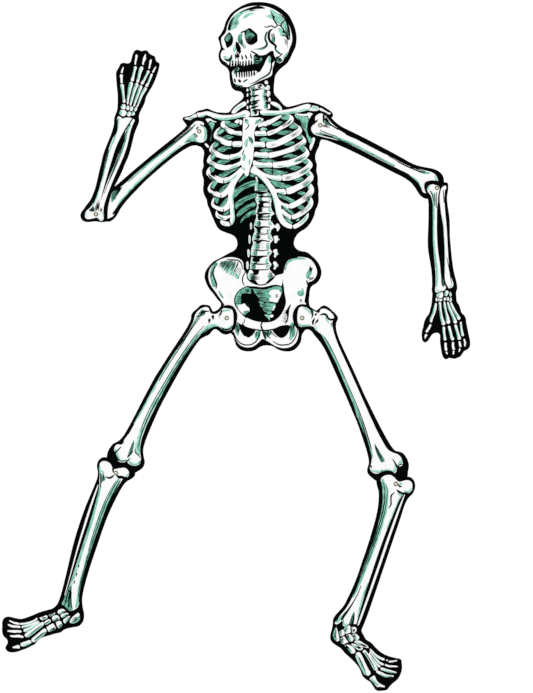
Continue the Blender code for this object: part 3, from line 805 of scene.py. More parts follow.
def left_hand_greens(ink):
    ink["wash"] += [
        tinge("-17.5,-210.5,1.2 -17,-214,1.8 -17.8,-217,1.2", 0.45),
        tinge("-9.5,-207,1.4 -8.2,-211,2.6 -9.5,-215.5,1.4", 0.55),
        tinge("1,-211,1.4 6,-213,3.4 5,-218,2.6", 0.45, 0.6),
        tinge("-17.6,-222,1 -17.2,-226,1.6 -17.4,-228.5,1", 0.5),
        tinge("-12,-220.5,1 -11.6,-223,1.6 -12.6,-225.5,1", 0.5),
        tinge("2,-223,1.2 5,-224.5,2.2 4,-226,1.2", 0.5),
        tinge("-17.8,-234,1.2 -20.6,-241,1.8 -25.2,-250,1.8 -29.4,-257,2.2 -31,-262,2.4", 0.5),
        tinge("-11.4,-233,1.2 -13.2,-241,1.8 -17.4,-250,1.8 -21.2,-260,2 -23,-268,2.6", 0.55),
        tinge("-4.6,-232,1.2 -5,-239,1.6 -6.8,-250,1.6 -8.8,-260,2 -8.6,-268,2.6", 0.5),
        tinge("5,-233,1.4 4.8,-241,1.8 3.6,-252,1.8 2.2,-262,2 0.6,-271,2.4", 0.55),
        tinge("13.4,-234,1.4 15.6,-242,2 18.8,-251,1.8 22.8,-259,2 24.2,-265,1.8", 0.5),
        tinge("-24.6,-279,1.4 -26.8,-286,1.6 -29,-295,1.8 -30,-302,2.2", 0.45),
        tinge("-11.6,-281,1.4 -13.6,-289,1.7 -15.4,-298,1.7 -16.6,-303,2", 0.45),
        tinge("-0.6,-282,1.4 -1.2,-290,1.5 -2,-298,1.5 -2,-303,1.8", 0.45),
        tinge("-35.8,-274,1 -36,-281,1.2 -37,-290,1.4 -37.6,-296,1.8", 0.4),
    ]


def left_forearm(ink):
    ink["bone"] += [
        area("-18.5,1 -16,4 -12,2 -6,-2 -4,3 0,5 4,6 8,7.5 14,6 18,3 20,-2 18,-8 15,-12 12,-18 10.5,-30 "
             "11,-45 12,-65 13,-85 13.5,-105 13,-125 11.5,-145 10.5,-165 10,-185 11,-197 12,-204 "
             "11,-208 6,-209 0,-206.5 -5,-206 -9,-202 -10,-198 -12,-200.5 -17,-201.5 -23,-199 -25,-193 "
             "-23,-186 -20,-175 -18,-160 -17,-140 -16.5,-110 -16,-80 -15,-60 -14,-40 -14,-20 -16,-8"),
    ]
    ink["wash"] += [
        wash("-9,-58,1.2 -10,-90,2.4 -10.2,-120,2.8 -10,-150,2.4 -10.5,-172,1.6", 0.25, 0.5),
        area("-2,-155 0,-168 -1,-180 -1,-192 -4,-198 -8,-196 -6,-188 -4,-175", 0.95, 75),
        wash("14,-5,3 8,-14,4.4 7.5,-24,4.4 7.8,-35,4 8.5,-50,4 9.5,-65,4 10.3,-80,4 10.8,-95,4 "
             "10.8,-110,4 10.2,-125,4 9,-138,4 8,-150,4 7,-162,4 6.5,-175,4 7.5,-188,3.6 "
             "9,-198,2.4", 0.5, 0.65),
        wash("14,4.5,1.6 17.5,1,3.4 17,-4,2.6", 0.45, 0.6),
        wash("-22,-190,1.6 -21,-196,3 -16,-199,2.4", 0.6, 0.4),
        wash("9,-202,2 7,-206,3 1,-205,2", 0.3, 0.6),
    ]
    ink["line"] += [
        line("-17,-25,0.6 -17.2,-60,1 -18,-100,1.2 -18.8,-140,1.2 -21,-172,0.8"),
        line("12,-20,0.8 10.8,-35,1.2 11.8,-55,1.4 12.8,-80,1.4 13.6,-105,1.4 13,-130,1.4 11.4,-155,1.2 "
             "10.4,-180,0.8"),
        line("-14,-140,0.3 -19,-170,1.1 -21,-190,0.5"),
        line("0,-150,0.4 -2,-170,1.2 -3,-190,1.4"),
        line("14,-6,0.8 10,-14,1.4 8,-26,0.8"),
        line("-8.5,0.5,1.4 -5,-7,1.5 -3,-18,2 -2.5,-28,2.5 -2,-38,4.5 -2,-50,6 -2.5,-65,8 -3,-80,10 "
             "-3,-95,10.5 -3.2,-110,10.5 -3.5,-125,10 -4,-140,8.5 -4.5,-152,7 -5,-162,5.5 -5.5,-172,4 "
             "-6.5,-182,2.5 -8,-190,2 -10.5,-196,2 -13,-200,2"),
        line("1.5,-8,0.5 2.4,-24,1 3,-40,0.5"),
        line("5,-10,0.5 5.2,-22,0.9 5.4,-36,0.5"),
        line("-12,-5,0.5 -12.6,-18,1 -13,-30,0.5"),
        line("-16.5,-5,0.6 -15.4,-18,1.4 -14.5,-30,0.6"),
    ]


# ---------------------------------------------------------------- drawings of the legs

def right_thigh_bone(ink):
    ink["bone"] += [
        area("-16,13 -13,14.5 -9,17 -4,19 0,19 5,15 10,9 15,2 18,-4 20,-12 17.5,-18 12,-22 4,-23.5 "
             "-4,-23 -10,-27 -15,-33 -18,-40 -19.5,-46 -22,-53 -24.5,-62 -25.5,-75 -26,-90 -25.5,-110 "
             "-24,-130 -22.5,-150 -20.5,-170 -18,-190 -15.5,-210 -12,-230 -9,-250 -5,-270 0.5,-290 "
             "4,-300 9,-310 16,-320 21,-325 25,-330 27,-335 28,-340 25,-345 20,-349 12,-351 5,-350 "
             "4,-350 0,-355 -8,-359 -15,-356 -21,-350 -25,-348 -30,-345 -32,-340 -31.5,-334 -28,-331 "
             "-24,-329 -23,-324 -25,-315 -24.5,-300 -26,-285 -27.5,-270 -29,-255 -31,-240 -33,-225 "
             "-36.5,-210 -39,-190 -41.5,-165 -43.5,-140 -44.5,-115 -45,-100 -46,-80 -47,-65 -48.5,-52 "
             "-51,-42 -54,-35 -55.5,-27 -54,-18 -51,-11 -46,-6 -41,-5 -37,-8 -32,-10.5 -26,-9 -21,-4 "
             "-19,2 -18,8"),
    ]


def right_thigh_greens(ink):
    ink["wash"] += [
        area("-50,-15 -46,-14 -41,-16 -40,-21 -43,-26 -46,-30 -50,-30 -51,-24", 0.95, 70),
        wash("-48,-25,3 -48.5,-35,4 -47,-45,4 -45,-60,4 -43.5,-75,4 -43,-95,4 -42.5,-115,4 -41.5,-140,4 "
             "-39.5,-165,4 -37,-190,4 -34.5,-212,3.8 -33,-225,3.6 -30.5,-245,3.5 -28.5,-265,3 "
             "-27.5,-280,1.6", 0.6, 0.35),
        wash("-16,-4,1.5 -15,5,3.5 -10,12.5,5 -3,16.5,2", 0.6, 0.4),
        wash("17.2,-5,2.5 16.6,-12,5 13,-18,5 7,-21,4.5 0,-21,1.6", 0.35, 0.9),
        wash("-3,-22.5,1 -10,-25,5 -16,-29.5,8 -20,-37,8 -22.5,-46,7 -25,-57,6.5 -27,-70,6 -28,-85,6 "
             "-28.3,-100,6 -28,-115,6 -27,-135,6.5 -26,-150,7 -24,-170,7.5 -21.5,-190,8 -19,-210,8 "
             "-17.5,-222,8 -15.5,-240,8 -12.5,-258,8 -8.5,-276,8 -4,-292,8 1,-306,9 8,-318,10 "
             "16,-326,6", 0.35, 0.7),
        area("-9,-306 -3,-315 2,-325 3,-331 1,-337 0,-342 -3,-333 -6,-322", 0.95, 70),
        wash("-30,-342,1.5 -24,-346,4.5 -16,-351,5 -8,-355,5 -1,-351,4.5 3,-347,2", 0.85, 0.25),
        wash("6,-346,2 14,-347.5,4.5 21,-344.5,5 25,-339,4.5 25,-333,2", 0.85, 0.3),
    ]


def right_thigh_lines(ink):
    ink["line"] += [
        line("-19,-40,0.8 -21.6,-52,1 -23,-70,1 -23.4,-100,1 -22,-130,1 -19.4,-160,1 -17,-180,1 "
             "-14.6,-200,1.2 -11.6,-220,1.4 -8.6,-240,1.6 -5,-260,1.8 -0.4,-280,2 4.6,-296,1.8 "
             "10,-307,1.4 16,-318,0.8"),
        line("-28,-40,0.4 -30.4,-62,0.8 -31,-90,0.8 -30.4,-120,0.7 -28.6,-150,0.7 -26,-180,0.7 "
             "-23,-210,0.7 -20,-235,0.7 -15,-262,0.7 -9,-284,0.4"),
        line("-26,-60,0.2 -27,-95,0.5 -25.6,-130,0.6 -23,-165,0.7 -20,-195,0.8 -16.6,-225,1 "
             "-12,-255,1.2 -6,-280,1.2 1,-300,0.8 7,-312,0.4"),
        line("-43.6,-30,0.4 -44.6,-60,0.8 -42,-100,0.9 -40.4,-140,0.7 -37,-180,0.5"),
        line("-46,-22,0.4 -46.6,-50,0.7 -45,-80,0.7 -44.6,-110,0.4"),
        line("19,-8,0.6 17,-15,1.8 12,-20,2 3,-22,1"),
        line("3,-319,0.4 8,-325,1.2 16,-326,1 22,-328,0.5"),
        line("-22,-351,0.8 -12,-356.6,1.4 -4,-355,1.2 2,-350,0.6"),
        line("-37,-10.5,0.8 -42,-13.5,2 -46,-18,2.4 -46,-27,2 -50.5,-32.5,1.4"),
        line("2.4,-327,1 2,-334,2 1,-342,1.2"),
        line("4,-351,1.6 5,-346,1.6 6,-341,0.8"),
        line("-22,-333,0.8 -23,-341,1.6 -24,-349,1.4"),
        *hatch("-18,8 -14,-12 -12,-11 -16,8", 3, 0.8),
        *hatch("-28,-13 -19,-21 -17,-18 -25,-11", 4, 0.8),
        *hatch("-29,-21 -22,-33 -20,-31 -26,-20", 3, 0.8),
        *hatch("-25,-322 -23,-328 -21,-327 -23,-322", 2, 0.7),
    ]


def left_thigh_bone(ink):
    ink["bone"] += [
        area("-19,9 -16,15 -11,20 -6,21 -1,18 4,12 9,4 12,-3 13,-10 8,-16 0,-19 -6,-22 -10,-25 -12,-30 "
             "-13,-36 -15,-42 -16.5,-48 -17,-60 -16.5,-75 -15.5,-90 -14,-105 -11.5,-130 -9,-155 -6,-180 "
             "-2.5,-205 0,-220 2,-230 5,-250 9.5,-270 15,-290 18.5,-300 22,-310 26,-320 29,-326 "
             "30.5,-333 28,-340 22,-345 14,-346 8,-349 2,-353 -4,-358 -9,-361 -14,-359 -17,-354 "
             "-19,-350 -24,-354 -30,-355 -33,-350 -34.5,-345 -35,-338 -33,-332 -29,-327 -24,-321 "
             "-20.5,-314 -19,-305 -19,-290 -19.5,-270 -21,-250 -22.5,-230 -23.5,-222 -25,-205 -27,-185 "
             "-29.5,-160 -32,-135 -34,-110 -35,-100 -37,-80 -38,-70 -40,-60 -42.5,-50 -46,-40 -50,-35 "
             "-55,-31 -57,-26 -55,-17 -51,-9 -47,-5 -42,-3 -38,-5 -34,-7.5 -31,-5 -28,0 -26,4 -22,6"),
    ]


def left_thigh_greens(ink):
    ink["wash"] += [
        wash("-42,-20,1.6 -41,-28,4 -41.5,-36,1.6", 0.6),
        wash("-46,-36,1.5 -44,-40,2.6 -42,-44,1.4", 0.75),
        wash("-12,17.5,1.6 -16.5,12,4.6 -18.5,5,4 -18.5,-3,1.6", 0.45, 0.6),
        area("-27,4 -21,6 -20,-2 -17,-9 -13,-11 -20,-8 -25,-2", 0.98, 60),
        area("-16,-26 -12,-25 -11,-30 -12,-36 -16,-33", 0.4, 80),
        wash("-18,-48,3 -19,-60,5 -19.3,-75,5.5 -18.3,-90,5.5 -17,-105,5.5 -14.5,-130,5.5 -12,-155,6 "
             "-9,-180,6.5 -6,-205,6.5 -3.5,-220,6.5 -1,-235,7 2,-252,7 5.5,-270,7 9,-288,6 11.5,-300,5 "
             "13.5,-312,2", 0.5, 0.75),
        wash("12,-5,1.6 10,-12,4 4,-16,4 -3,-18.5,4 -8,-22,1.6", 0.85, 0.3),
        stroke("-3,-290,1 -1,-300,5 0,-315,8 0,-327,9", 0.95, 80),
        wash("-33,-343,3 -28,-349,7 -21,-349,3", 0.85, 0.3),
        wash("-17,-347,2 -13,-354,5 -7,-356,6 0,-351,7 8,-346.5,6.5 17,-342,6 25,-337,5 "
             "29,-332,2", 0.8, 0.2),
    ]


def left_thigh_lines(ink):
    ink["line"] += [
        line("-16,-44,0.6 -15.8,-60,0.8 -15.2,-80,0.8 -14,-105,0.8 -11.4,-130,0.8 -8.8,-155,0.9 "
             "-5.8,-180,1 -2.4,-205,1.4 2.6,-225,2 5.6,-245,3 8.8,-265,4 12.8,-285,4.2 16.2,-300,4.2 "
             "20.4,-313,4 28.6,-325,2.4"),
        line("-20.6,-55,0.3 -20.8,-80,0.6 -18.8,-110,0.6 -16.2,-140,0.6 -13.2,-170,0.6 -10,-200,0.8 "
             "-6.6,-225,1 -2.4,-250,1.2 3,-275,1.2 8,-296,0.8"),
        line("-4,-222,0.3 2,-255,1.4 8,-280,1.4 13,-300,0.9 17,-314,0.5"),
        line("-40.6,-62,1 -38.4,-80,2.4 -36.2,-105,2.6 -33.6,-135,2.6 -31.2,-162,2.6 -28.8,-188,2.6 "
             "-26.2,-212,2.4 -24.4,-235,2 -22.6,-255,1.2"),
        line("-24,5,1 -22,-3,1.6 -17,-9,1"),
        line("9,-16,0.8 2,-19.6,1.4 -6,-22.6,1"),
        line("-2,-296,0.3 -0.6,-308,1.2 0.4,-320,1.4 1,-328,0.8"),
        line("-31,-354,0.6 -27,-352,1.2 -22,-352,0.6"),
        line("-34,-12.5,0.8 -39,-13.4,2.4 -43,-15.5,3 -45,-20,3 -45,-26,2.6 -48,-31,2.8 -53,-32.5,2"),
        line("-29,-6,1.2 -27,-7,2.6 -25,-8,1.2"),
        line("-21,-13,1 -15,-17,3 -12,-22,1.2"),
        *hatch("-28,-17 -14,-22 -13,-24 -26,-20", 3, 0.9),
        line("-19,-335,0.8 -19.3,-342,1.6 -19,-351,2.6"),
        line("11,-343,0.8 11.6,-346,1.5 12,-348,1.2"),
        *hatch("24,-325 28,-333 29,-331 25,-324", 2, 0.8),
    ]


def right_foot_bones(ink):
    ink["bone"] += [
        pebble("3,-311 5,-302 10,-294 15,-288 19.5,-293 20.5,-300 18,-307 12,-313 5,-314"),
        pebble("-26,-300 -25,-296 -20,-292 -15,-291 -10.5,-293.5 -14,-297 -19,-302 -23,-304"),
        pebble("-18,-304 -13,-299 -7,-296 -3,-297 -7,-302 -12,-308 -16,-308.5"),
        pebble("-10,-311 -6,-306 -2,-301 1.5,-300.5 1.5,-305 0,-312 -4,-318 -8,-317 -9.5,-314"),
        pebble("-40.5,-312 -36,-308 -30,-303 -29,-306 -33,-311 -38,-314"),
        pebble("-33,-313 -29,-308.5 -24,-306.5 -19,-309 -17,-313 -22,-318 -28,-320 -32,-317"),
        pebble("-22.5,-321 -19,-317 -14.5,-315.5 -10,-319 -8,-324 -10,-329 -14,-331 -18,-328 -21,-324"),
        pebble("-57,-323 -51,-319 -45,-313.5 -41,-315 -42,-320 -46,-323 -50,-326"),
        pebble("-45,-328 -41,-322 -36,-319 -32,-322 -35,-328 -40,-332 -43,-331"),
        pebble("-37,-335 -32,-329 -27,-324.5 -22,-328 -18.5,-332 -20,-337 -26,-341 -30,-344 -34,-341 "
               "-37,-338"),
        digit("-39,-344,10 -43,-351,10 -49,-360,9.5 -54,-368.5,10.5"),
        digit("-47,-332,8 -53,-339,8 -59,-348,8.5 -66,-358,9 -70,-363.5,9.6"),
        digit("-54.5,-332,3.6 -60,-338,5 -68,-349,6 -76,-355.5,7.6"),
        digit("-57.5,-330,2.8 -63,-336,4 -72,-344,5 -82.5,-350.5,5.6"),
        digit("-61,-326,3.6 -64,-331,4.5 -72,-338,5 -82,-343.5,4.5 -89,-346,4"),
        digit("-92.5,-347,4.4 -97,-347.4,5 -102,-348,4 -111,-346.6,2.8"),
        digit("-89,-352.4,5 -95,-353.6,5 -102,-355.5,5.6 -111,-355,3.4"),
        digit("-84,-360.5,5 -90,-362,5.5 -97,-364.5,6 -108,-367,3.4"),
        digit("-77,-369.4,5 -85,-370.4,6 -93,-373.5,5 -100,-375,3.6"),
        digit("-60.5,-375,9 -66,-379.5,9.6 -72.5,-384,9"),
        pebble("-75,-390 -79,-387 -84,-390 -90,-395 -88,-397 -82,-395 -76,-394"),
    ]


def right_foot_greens(ink):
    ink["wash"] += [
        tinge("18,-294,2 18.4,-300,4 14,-307,5 7,-311.5,2.4", 0.55, 0.75),
        tinge("-12,-294,1.4 -17,-299,3 -22,-302.4,1.6", 0.5),
        tinge("-5,-299,1.4 -9,-303.5,3 -14,-307,1.6", 0.55),
        tinge("0,-303,1.4 -1,-309,3.4 -4.5,-315.5,1.8", 0.6),
        tinge("-31,-306,1 -34,-310,2 -38,-312.6,1", 0.4),
        tinge("-20,-311,1.4 -22,-315,3.4 -28,-318,1.6", 0.55),
        tinge("-10.5,-321,1.4 -11,-325.5,3.6 -15,-328.6,1.8", 0.6),
        tinge("-43,-317,1.2 -46.5,-321,2.4 -51,-323.6,1.2", 0.5),
        tinge("-34.5,-323,1.4 -37,-327,3 -41,-330,1.4", 0.5),
        tinge("-21.5,-332,1.6 -25,-337,3.8 -30.5,-341,1.8", 0.6),
        tinge("-36,-346,2.4 -40.4,-353,4 -46.4,-361.5,4 -51.4,-369.6,3.4", 0.6, 0.45),
        tinge("-45,-335,1.6 -50.6,-342,3 -56.6,-351,3.2 -63.4,-360.5,3.4 -67.6,-366,2.6", 0.6, 0.4),
        tinge("-54,-334.6,1 -59,-340.4,1.8 -66.8,-351,2.2 -75,-357.6,2.4", 0.5),
        tinge("-57.6,-332.6,0.8 -62.4,-337.6,1.4 -71.6,-346,1.8 -82,-352,2", 0.45),
        tinge("-63,-332.6,1 -71.6,-339.8,1.8 -82,-345,1.6", 0.45),
        tinge("-59,-377.4,2 -64.6,-382,3 -70.6,-386.4,2.4", 0.6, 0.4),
    ]


def right_foot_lines(ink):
    ink["line"] += [
        line("-39,-348,0.5 -45,-358,1.1 -52,-368,0.5"),
        line("-49,-337,0.4 -56,-347.6,1 -64,-359,0.5"),
        line("-51,-321.4,0.5 -47.6,-320,1.2 -44.6,-318,0.5"),
        *hatch("17,-298 5,-303 5,-311 16,-307", 5, 0.7),
        *hatch("-12,-295 -20,-299 -19,-302 -10,-298", 3, 0.4),
        *hatch("-4,-299 -12,-304 -11,-307 -3,-302", 3, 0.5),
        *hatch("1,-303 -4,-310 -3,-316 1,-309", 3, 0.5),
        *hatch("-20,-311 -28,-316 -26,-319 -18,-315", 3, 0.5),
        *hatch("-10,-321 -15,-326 -13,-330 -9,-325", 3, 0.5),
        *hatch("-20,-332 -30,-337 -29,-343 -19,-336", 4, 0.6),
        line("-31,-305,0.4 -36,-310,1 -39,-313,0.4"),
        line("-35,-322,0.4 -40,-328,1 -43,-331,0.4"),
    ]


def right_shin_bones(ink):
    ink["bone"] += [
        area("-36,8 -33,13.5 -27,16 -20,15.5 -15,13 -11,9 -7,6 -3,7 2,10 8,13 14,15 20,13.5 24.5,9 26,3 "
             "24,-1 20,-4 16.5,-8 15,-15 13,-22 11,-30 9.5,-38 7.5,-50 6,-60 4.5,-70 3.5,-85 3,-100 "
             "2,-115 1.5,-130 1,-150 0.5,-170 0.5,-190 0.5,-210 1.5,-225 3,-240 5,-252 7.5,-263 10,-270 "
             "10.5,-276 9,-281 5,-286 2,-289 -3,-290.5 -8,-289 -12,-287 -17,-284 -21.5,-283.5 -22,-278 "
             "-20.5,-268 -19.5,-250 -19,-220 -19,-190 -18.8,-150 -18.6,-120 -18.6,-100 -20,-70 "
             "-21.2,-50 -22.6,-38 -25.4,-28 -28.5,-18 -31,-8 -34,0"),
        stroke("-26.3,-34,1.2 -26.4,-45,3 -26.6,-60,4 -27,-80,4.4 -27.2,-100,4.4 -27,-125,3.8 "
               "-26.8,-150,3.4 -26.2,-170,2.8 -25.4,-190,2.4 -24.5,-210,2 -23.5,-230,1.6 -22.8,-250,1.4 "
               "-22.2,-264,1.2"),
    ]


def right_shin_greens(ink):
    ink["wash"] += [
        wash("-31,-4,1.6 -26,-6.5,4.6 -20,-9,1.6", 0.6, 0.45),
        area("-29,-11 -22,-12 -17,-15 -16,-20 -20,-26 -22,-32 -25,-25 -27,-18", 0.85, 75),
        wash("-21,-33,3 -20,-45,4 -18.8,-60,4 -17.5,-80,4.5 -16.5,-100,5 -16,-120,5 -16,-140,5 "
             "-16,-160,5 -16,-180,5 -16,-200,5 -16,-220,5 -16.5,-240,5 -16,-255,7", 0.6),
        area("-19.5,-245 -14,-245 -11,-255 -7,-266 -3,-276 1,-284 2,-289 -5,-290 -12,-287 -17,-284 "
             "-21.5,-283 -21,-270 -20,-255", 0.8, 75),
        wash("10.5,-9,7 8.5,-18,9 6,-28,9 4,-38,9 1.5,-50,10 0,-62,11 -1,-78,10 -2,-95,10.5 "
             "-2.8,-112,10 -3,-130,8.5 -2.8,-150,7.5 -2.6,-170,5.5 -2.2,-190,5 -2,-205,5 -1.2,-222,4.8 "
             "0.3,-238,4.6 2.5,-252,4.6 5.2,-264,5 7,-274,6 6,-281,3", 0.4, 0.72),
        wash("-35,4,1.4 -33,-3,3 -29,-12,2", 0.5),
        wash("24.4,7,1.6 23.6,2,3 19,-1,1.6", 0.5),
    ]


def right_shin_lines(ink):
    ink["line"] += [
        line("13.4,-14,0.6 10.4,-26,1.2 7.6,-42,1.4 5.2,-60,1.5 3.6,-82,1.5 2.6,-110,1.5 1.6,-140,1.5 "
             "1,-170,1.4 1,-200,1.4 2.4,-228,1.3 5.8,-252,1.2 9.4,-268,0.8"),
        line("9.6,-12,0.3 4.4,-30,0.8 1,-50,0.9 -1,-75,0.9 -2,-105,0.9 -2.2,-140,0.9 -2,-175,0.8 "
             "-1.4,-210,0.8 1,-238,0.7 4.6,-260,0.5"),
        line("5,-16,0.3 -1,-42,0.5 -4,-70,0.6 -5.4,-100,0.6 -5.4,-130,0.5 -4.6,-165,0.3"),
        line("-29,-10,0.8 -26,-18,1.6 -23,-27,1.4 -21,-36,0.8"),
        line("-24,-9,0.5 -21,-15,1.2 -19,-22,0.5"),
        line("-15,-244,0.5 -13,-260,1.4 -8,-284,1.6"),
        line("-18,-248,0.5 -17,-266,1.3 -16,-283,1.2"),
        line("-13,-252,0.3 -8,-268,1 -2,-284,1"),
        line("-24.6,-40,0.4 -24.4,-80,0.9 -24.2,-120,0.7"),
        line("-16,-13.5,1 -10,-14,2.5 -5,-10,2.5 -2.5,-6,1"),
        line("2,-3,1 8,-6,4 14,-4.4,4 19,-4.5,3.6 24,-3,3"),
        line("-8,8,3 -7,3,2.4 -5,0,1"),
        *hatch("-14,-197 -13.4,-206 -12.6,-206 -13,-197", 2, 0.7),
        *hatch("-13,-214 -12.2,-224 -11.4,-224 -12.2,-214", 2, 0.7),
        *hatch("-12.6,-230 -12,-240 -11.2,-240 -11.8,-230", 2, 0.7),
        *hatch("-15,-250 -12,-282 -6,-286 -11,-256", 4, 0.8),
    ]


def left_foot_bones(ink):
    ink["bone"] += [
        pebble("-20,-304 -18,-298 -13,-297 -8,-300 -8,-306 -12,-311 -17,-309"),
        pebble("-6,-299 -2,-297 2,-302 5,-307 4,-312 -1,-316 -6,-314 -10,-309 -7,-304"),
        pebble("6,-309 10,-312 12,-316 10,-322 6,-324 2,-321 0,-317 3,-312"),
        pebble("22,-309 22.5,-318 20.5,-328 17,-334 10,-336.5 6,-333 9,-326 14,-318 18,-312"),
        pebble("-30,-314 -26,-311 -20,-309 -16,-310 -14.5,-314 -18,-319 -24,-321 -29,-320"),
        pebble("-20,-321 -16,-317 -10,-313.5 -5,-316 -3,-319 -8,-324 -14,-328 -19,-326"),
        pebble("-12,-330 -6,-326 0,-321.5 5,-326 5,-332 0,-337 -5,-337 -8,-333.5"),
        pebble("-55,-328 -50,-324 -42,-322.5 -34,-320 -26,-321 -21,-325 -27,-328 -36,-329 -45,-330"),
        pebble("-44,-333 -40,-329 -32,-330 -24,-329 -18,-331 -19,-334 -27,-337 -36,-339 -42,-337"),
        pebble("-32,-344 -27,-338 -20,-335 -12,-334.5 -6,-338 -10,-342 -18,-346 -25,-350 -30,-348"),
        digit("-38.5,-347,11.6 -45,-353,12 -53,-361,11 -62,-370,11 -68.5,-376,12.6"),
        digit("-48,-337.4,7.4 -56,-342,7 -64,-348,7 -73,-356,8 -81,-363,8.6"),
        digit("-59,-338,3.2 -64,-343,3.5 -72,-349,4 -82,-354.5,5 -86,-356,5"),
        digit("-59,-334,2.8 -65,-338,3 -73,-343.5,4 -83,-348.5,5 -91,-350,5"),
        digit("-58,-329.6,3.2 -64,-333,4 -72,-337,4.5 -82,-339.5,5 -89,-340,6"),
        digit("-96,-340,3.6 -97,-339,3"),
        digit("-102,-340.6,4.6 -108,-338,3.6 -115,-334,2.6"),
        digit("-97,-349.4,4.4 -104,-349.5,4.2 -112,-347,4 -120,-345,2.5"),
        digit("-92,-359,6.4 -100,-359,6 -110,-358.5,6 -121,-357,3"),
        digit("-85.5,-367.4,5.6 -93,-368.5,7 -105,-369.5,6 -118,-365.6,3.4"),
        pebble("-82,-376 -77,-380 -74,-386 -81,-388 -88,-393 -95,-397 -100,-395 -110,-393 -110,-390 "
               "-103,-389 -96,-387.5 -89,-383.5"),
    ]


def left_foot_greens(ink):
    ink["wash"] += [
        tinge("21,-312,1.6 20.6,-320,3.6 18,-328,4.6 12,-334,2.4", 0.5, 0.65),
        tinge("0,-300,1.4 3,-306,3 1,-313,2.4", 0.6),
        tinge("9.6,-313,1.2 9.4,-318,2.6 7,-322,1.4", 0.5),
        tinge("-10,-301,1.2 -10,-306,2.6 -13,-309.4,1.4", 0.5),
        tinge("-17,-313,1.4 -20,-317.4,3 -26,-319,1.6", 0.5),
        tinge("-5.6,-318,1.4 -10,-322.6,3.4 -15.6,-326,1.6", 0.55),
        tinge("3.4,-327,1.4 2.4,-331.6,3.4 -2.6,-335.4,1.8", 0.6),
        tinge("-24,-325,1.2 -34,-326.4,2.6 -46,-327.6,1.4", 0.5),
        tinge("-20.6,-332.4,1.2 -29,-334.6,2.8 -39,-336,1.4", 0.55),
        tinge("-9,-339,1.6 -15,-342,3.6 -24,-347,2.2", 0.6),
        tinge("-35,-350,3 -41.4,-356.4,4.6 -49.6,-364.6,4.6 -58.4,-373.6,4.4 -65,-380,3.6", 0.55, 0.45),
        tinge("-49,-340,1.6 -56,-344.6,2.6 -64,-350.6,2.8 -72.4,-358.6,3 -79.6,-365.6,2.6", 0.55, 0.4),
        tinge("-64,-344.4,0.9 -72,-350.6,1.4 -82,-356.4,1.7", 0.45),
        tinge("-65,-339.2,0.8 -73,-345,1.4 -83,-350.4,1.8", 0.45),
        tinge("-64,-334.4,1 -72,-338.6,1.6 -82,-341.4,1.8", 0.45),
        tinge("-77,-384.6,2 -86,-389,3 -95,-393.6,2.6", 0.6, 0.4),
        tinge("-92,-370.6,1.6 -104,-371.4,2.2 -116,-367,1.2", 0.5),
        tinge("-94,-361,1.4 -108,-360.4,2 -119,-358,1", 0.5),
    ]


def left_foot_lines(ink):
    ink["line"] += [
        line("-14.6,-303,2.4 -14.4,-305,3"),
        line("-42,-352,0.5 -52,-363,1.2 -62,-374,0.6"),
        line("-50,-338,0.4 -62,-348,1 -74,-358.6,0.5"),
        *hatch("-16,-311 -26,-315 -25,-320 -16,-316", 4, 0.6),
        *hatch("2,-303 -4,-308 -3,-315 4,-310", 4, 0.6),
        *hatch("11,-313 5,-317 4,-322 10,-320", 3, 0.6),
        *hatch("-5,-316 -14,-321 -13,-327 -4,-320", 4, 0.6),
        *hatch("4,-325 -4,-330 -3,-336 4,-331", 4, 0.6),
        *hatch("21,-312 15,-326 12,-335 19,-328", 4, 0.6),
        *hatch("-8,-337 -20,-341 -22,-347 -9,-341", 4, 0.6),
        line("-10,-301,0.5 -9,-306,1.2 -13,-310,0.5"),
        *hatch("-50,-326.5 -30,-324 -30,-326 -48,-328.5", 3, 0.7),
        *hatch("-40,-332 -24,-332 -25,-334 -40,-335", 3, 0.7),
    ]


def left_shin_bones(ink):
    ink["bone"] += [
        area("-34,2 -31,11 -25,15 -18,14 -12,10.5 -7,7 -3,6.5 1,8 7,11.5 14,13.5 21,12 27,8 31,2 30,-4 "
             "27,-9 23,-16 19,-24 16,-32 13.5,-40 11.5,-50 10,-60 8.5,-72 7.5,-85 6.5,-100 6,-115 "
             "6,-130 6,-150 7,-165 7.5,-180 8,-195 8,-210 8.5,-225 9.5,-240 11,-252 13,-262 16,-272 "
             "20,-282 23.5,-291 25.5,-298 26,-303 22,-304 18,-300 15,-294 12,-296 9,-302 5,-302 0,-297 "
             "-2,-294 -8,-292 -11,-292 -15,-290.5 -19,-292.5 -21,-285 -22,-250 -23,-200 -23.4,-150 "
             "-23.5,-100 -24,-60 -24.5,-15 -26,-10.5 -31,-8 -34,-3"),
    ]


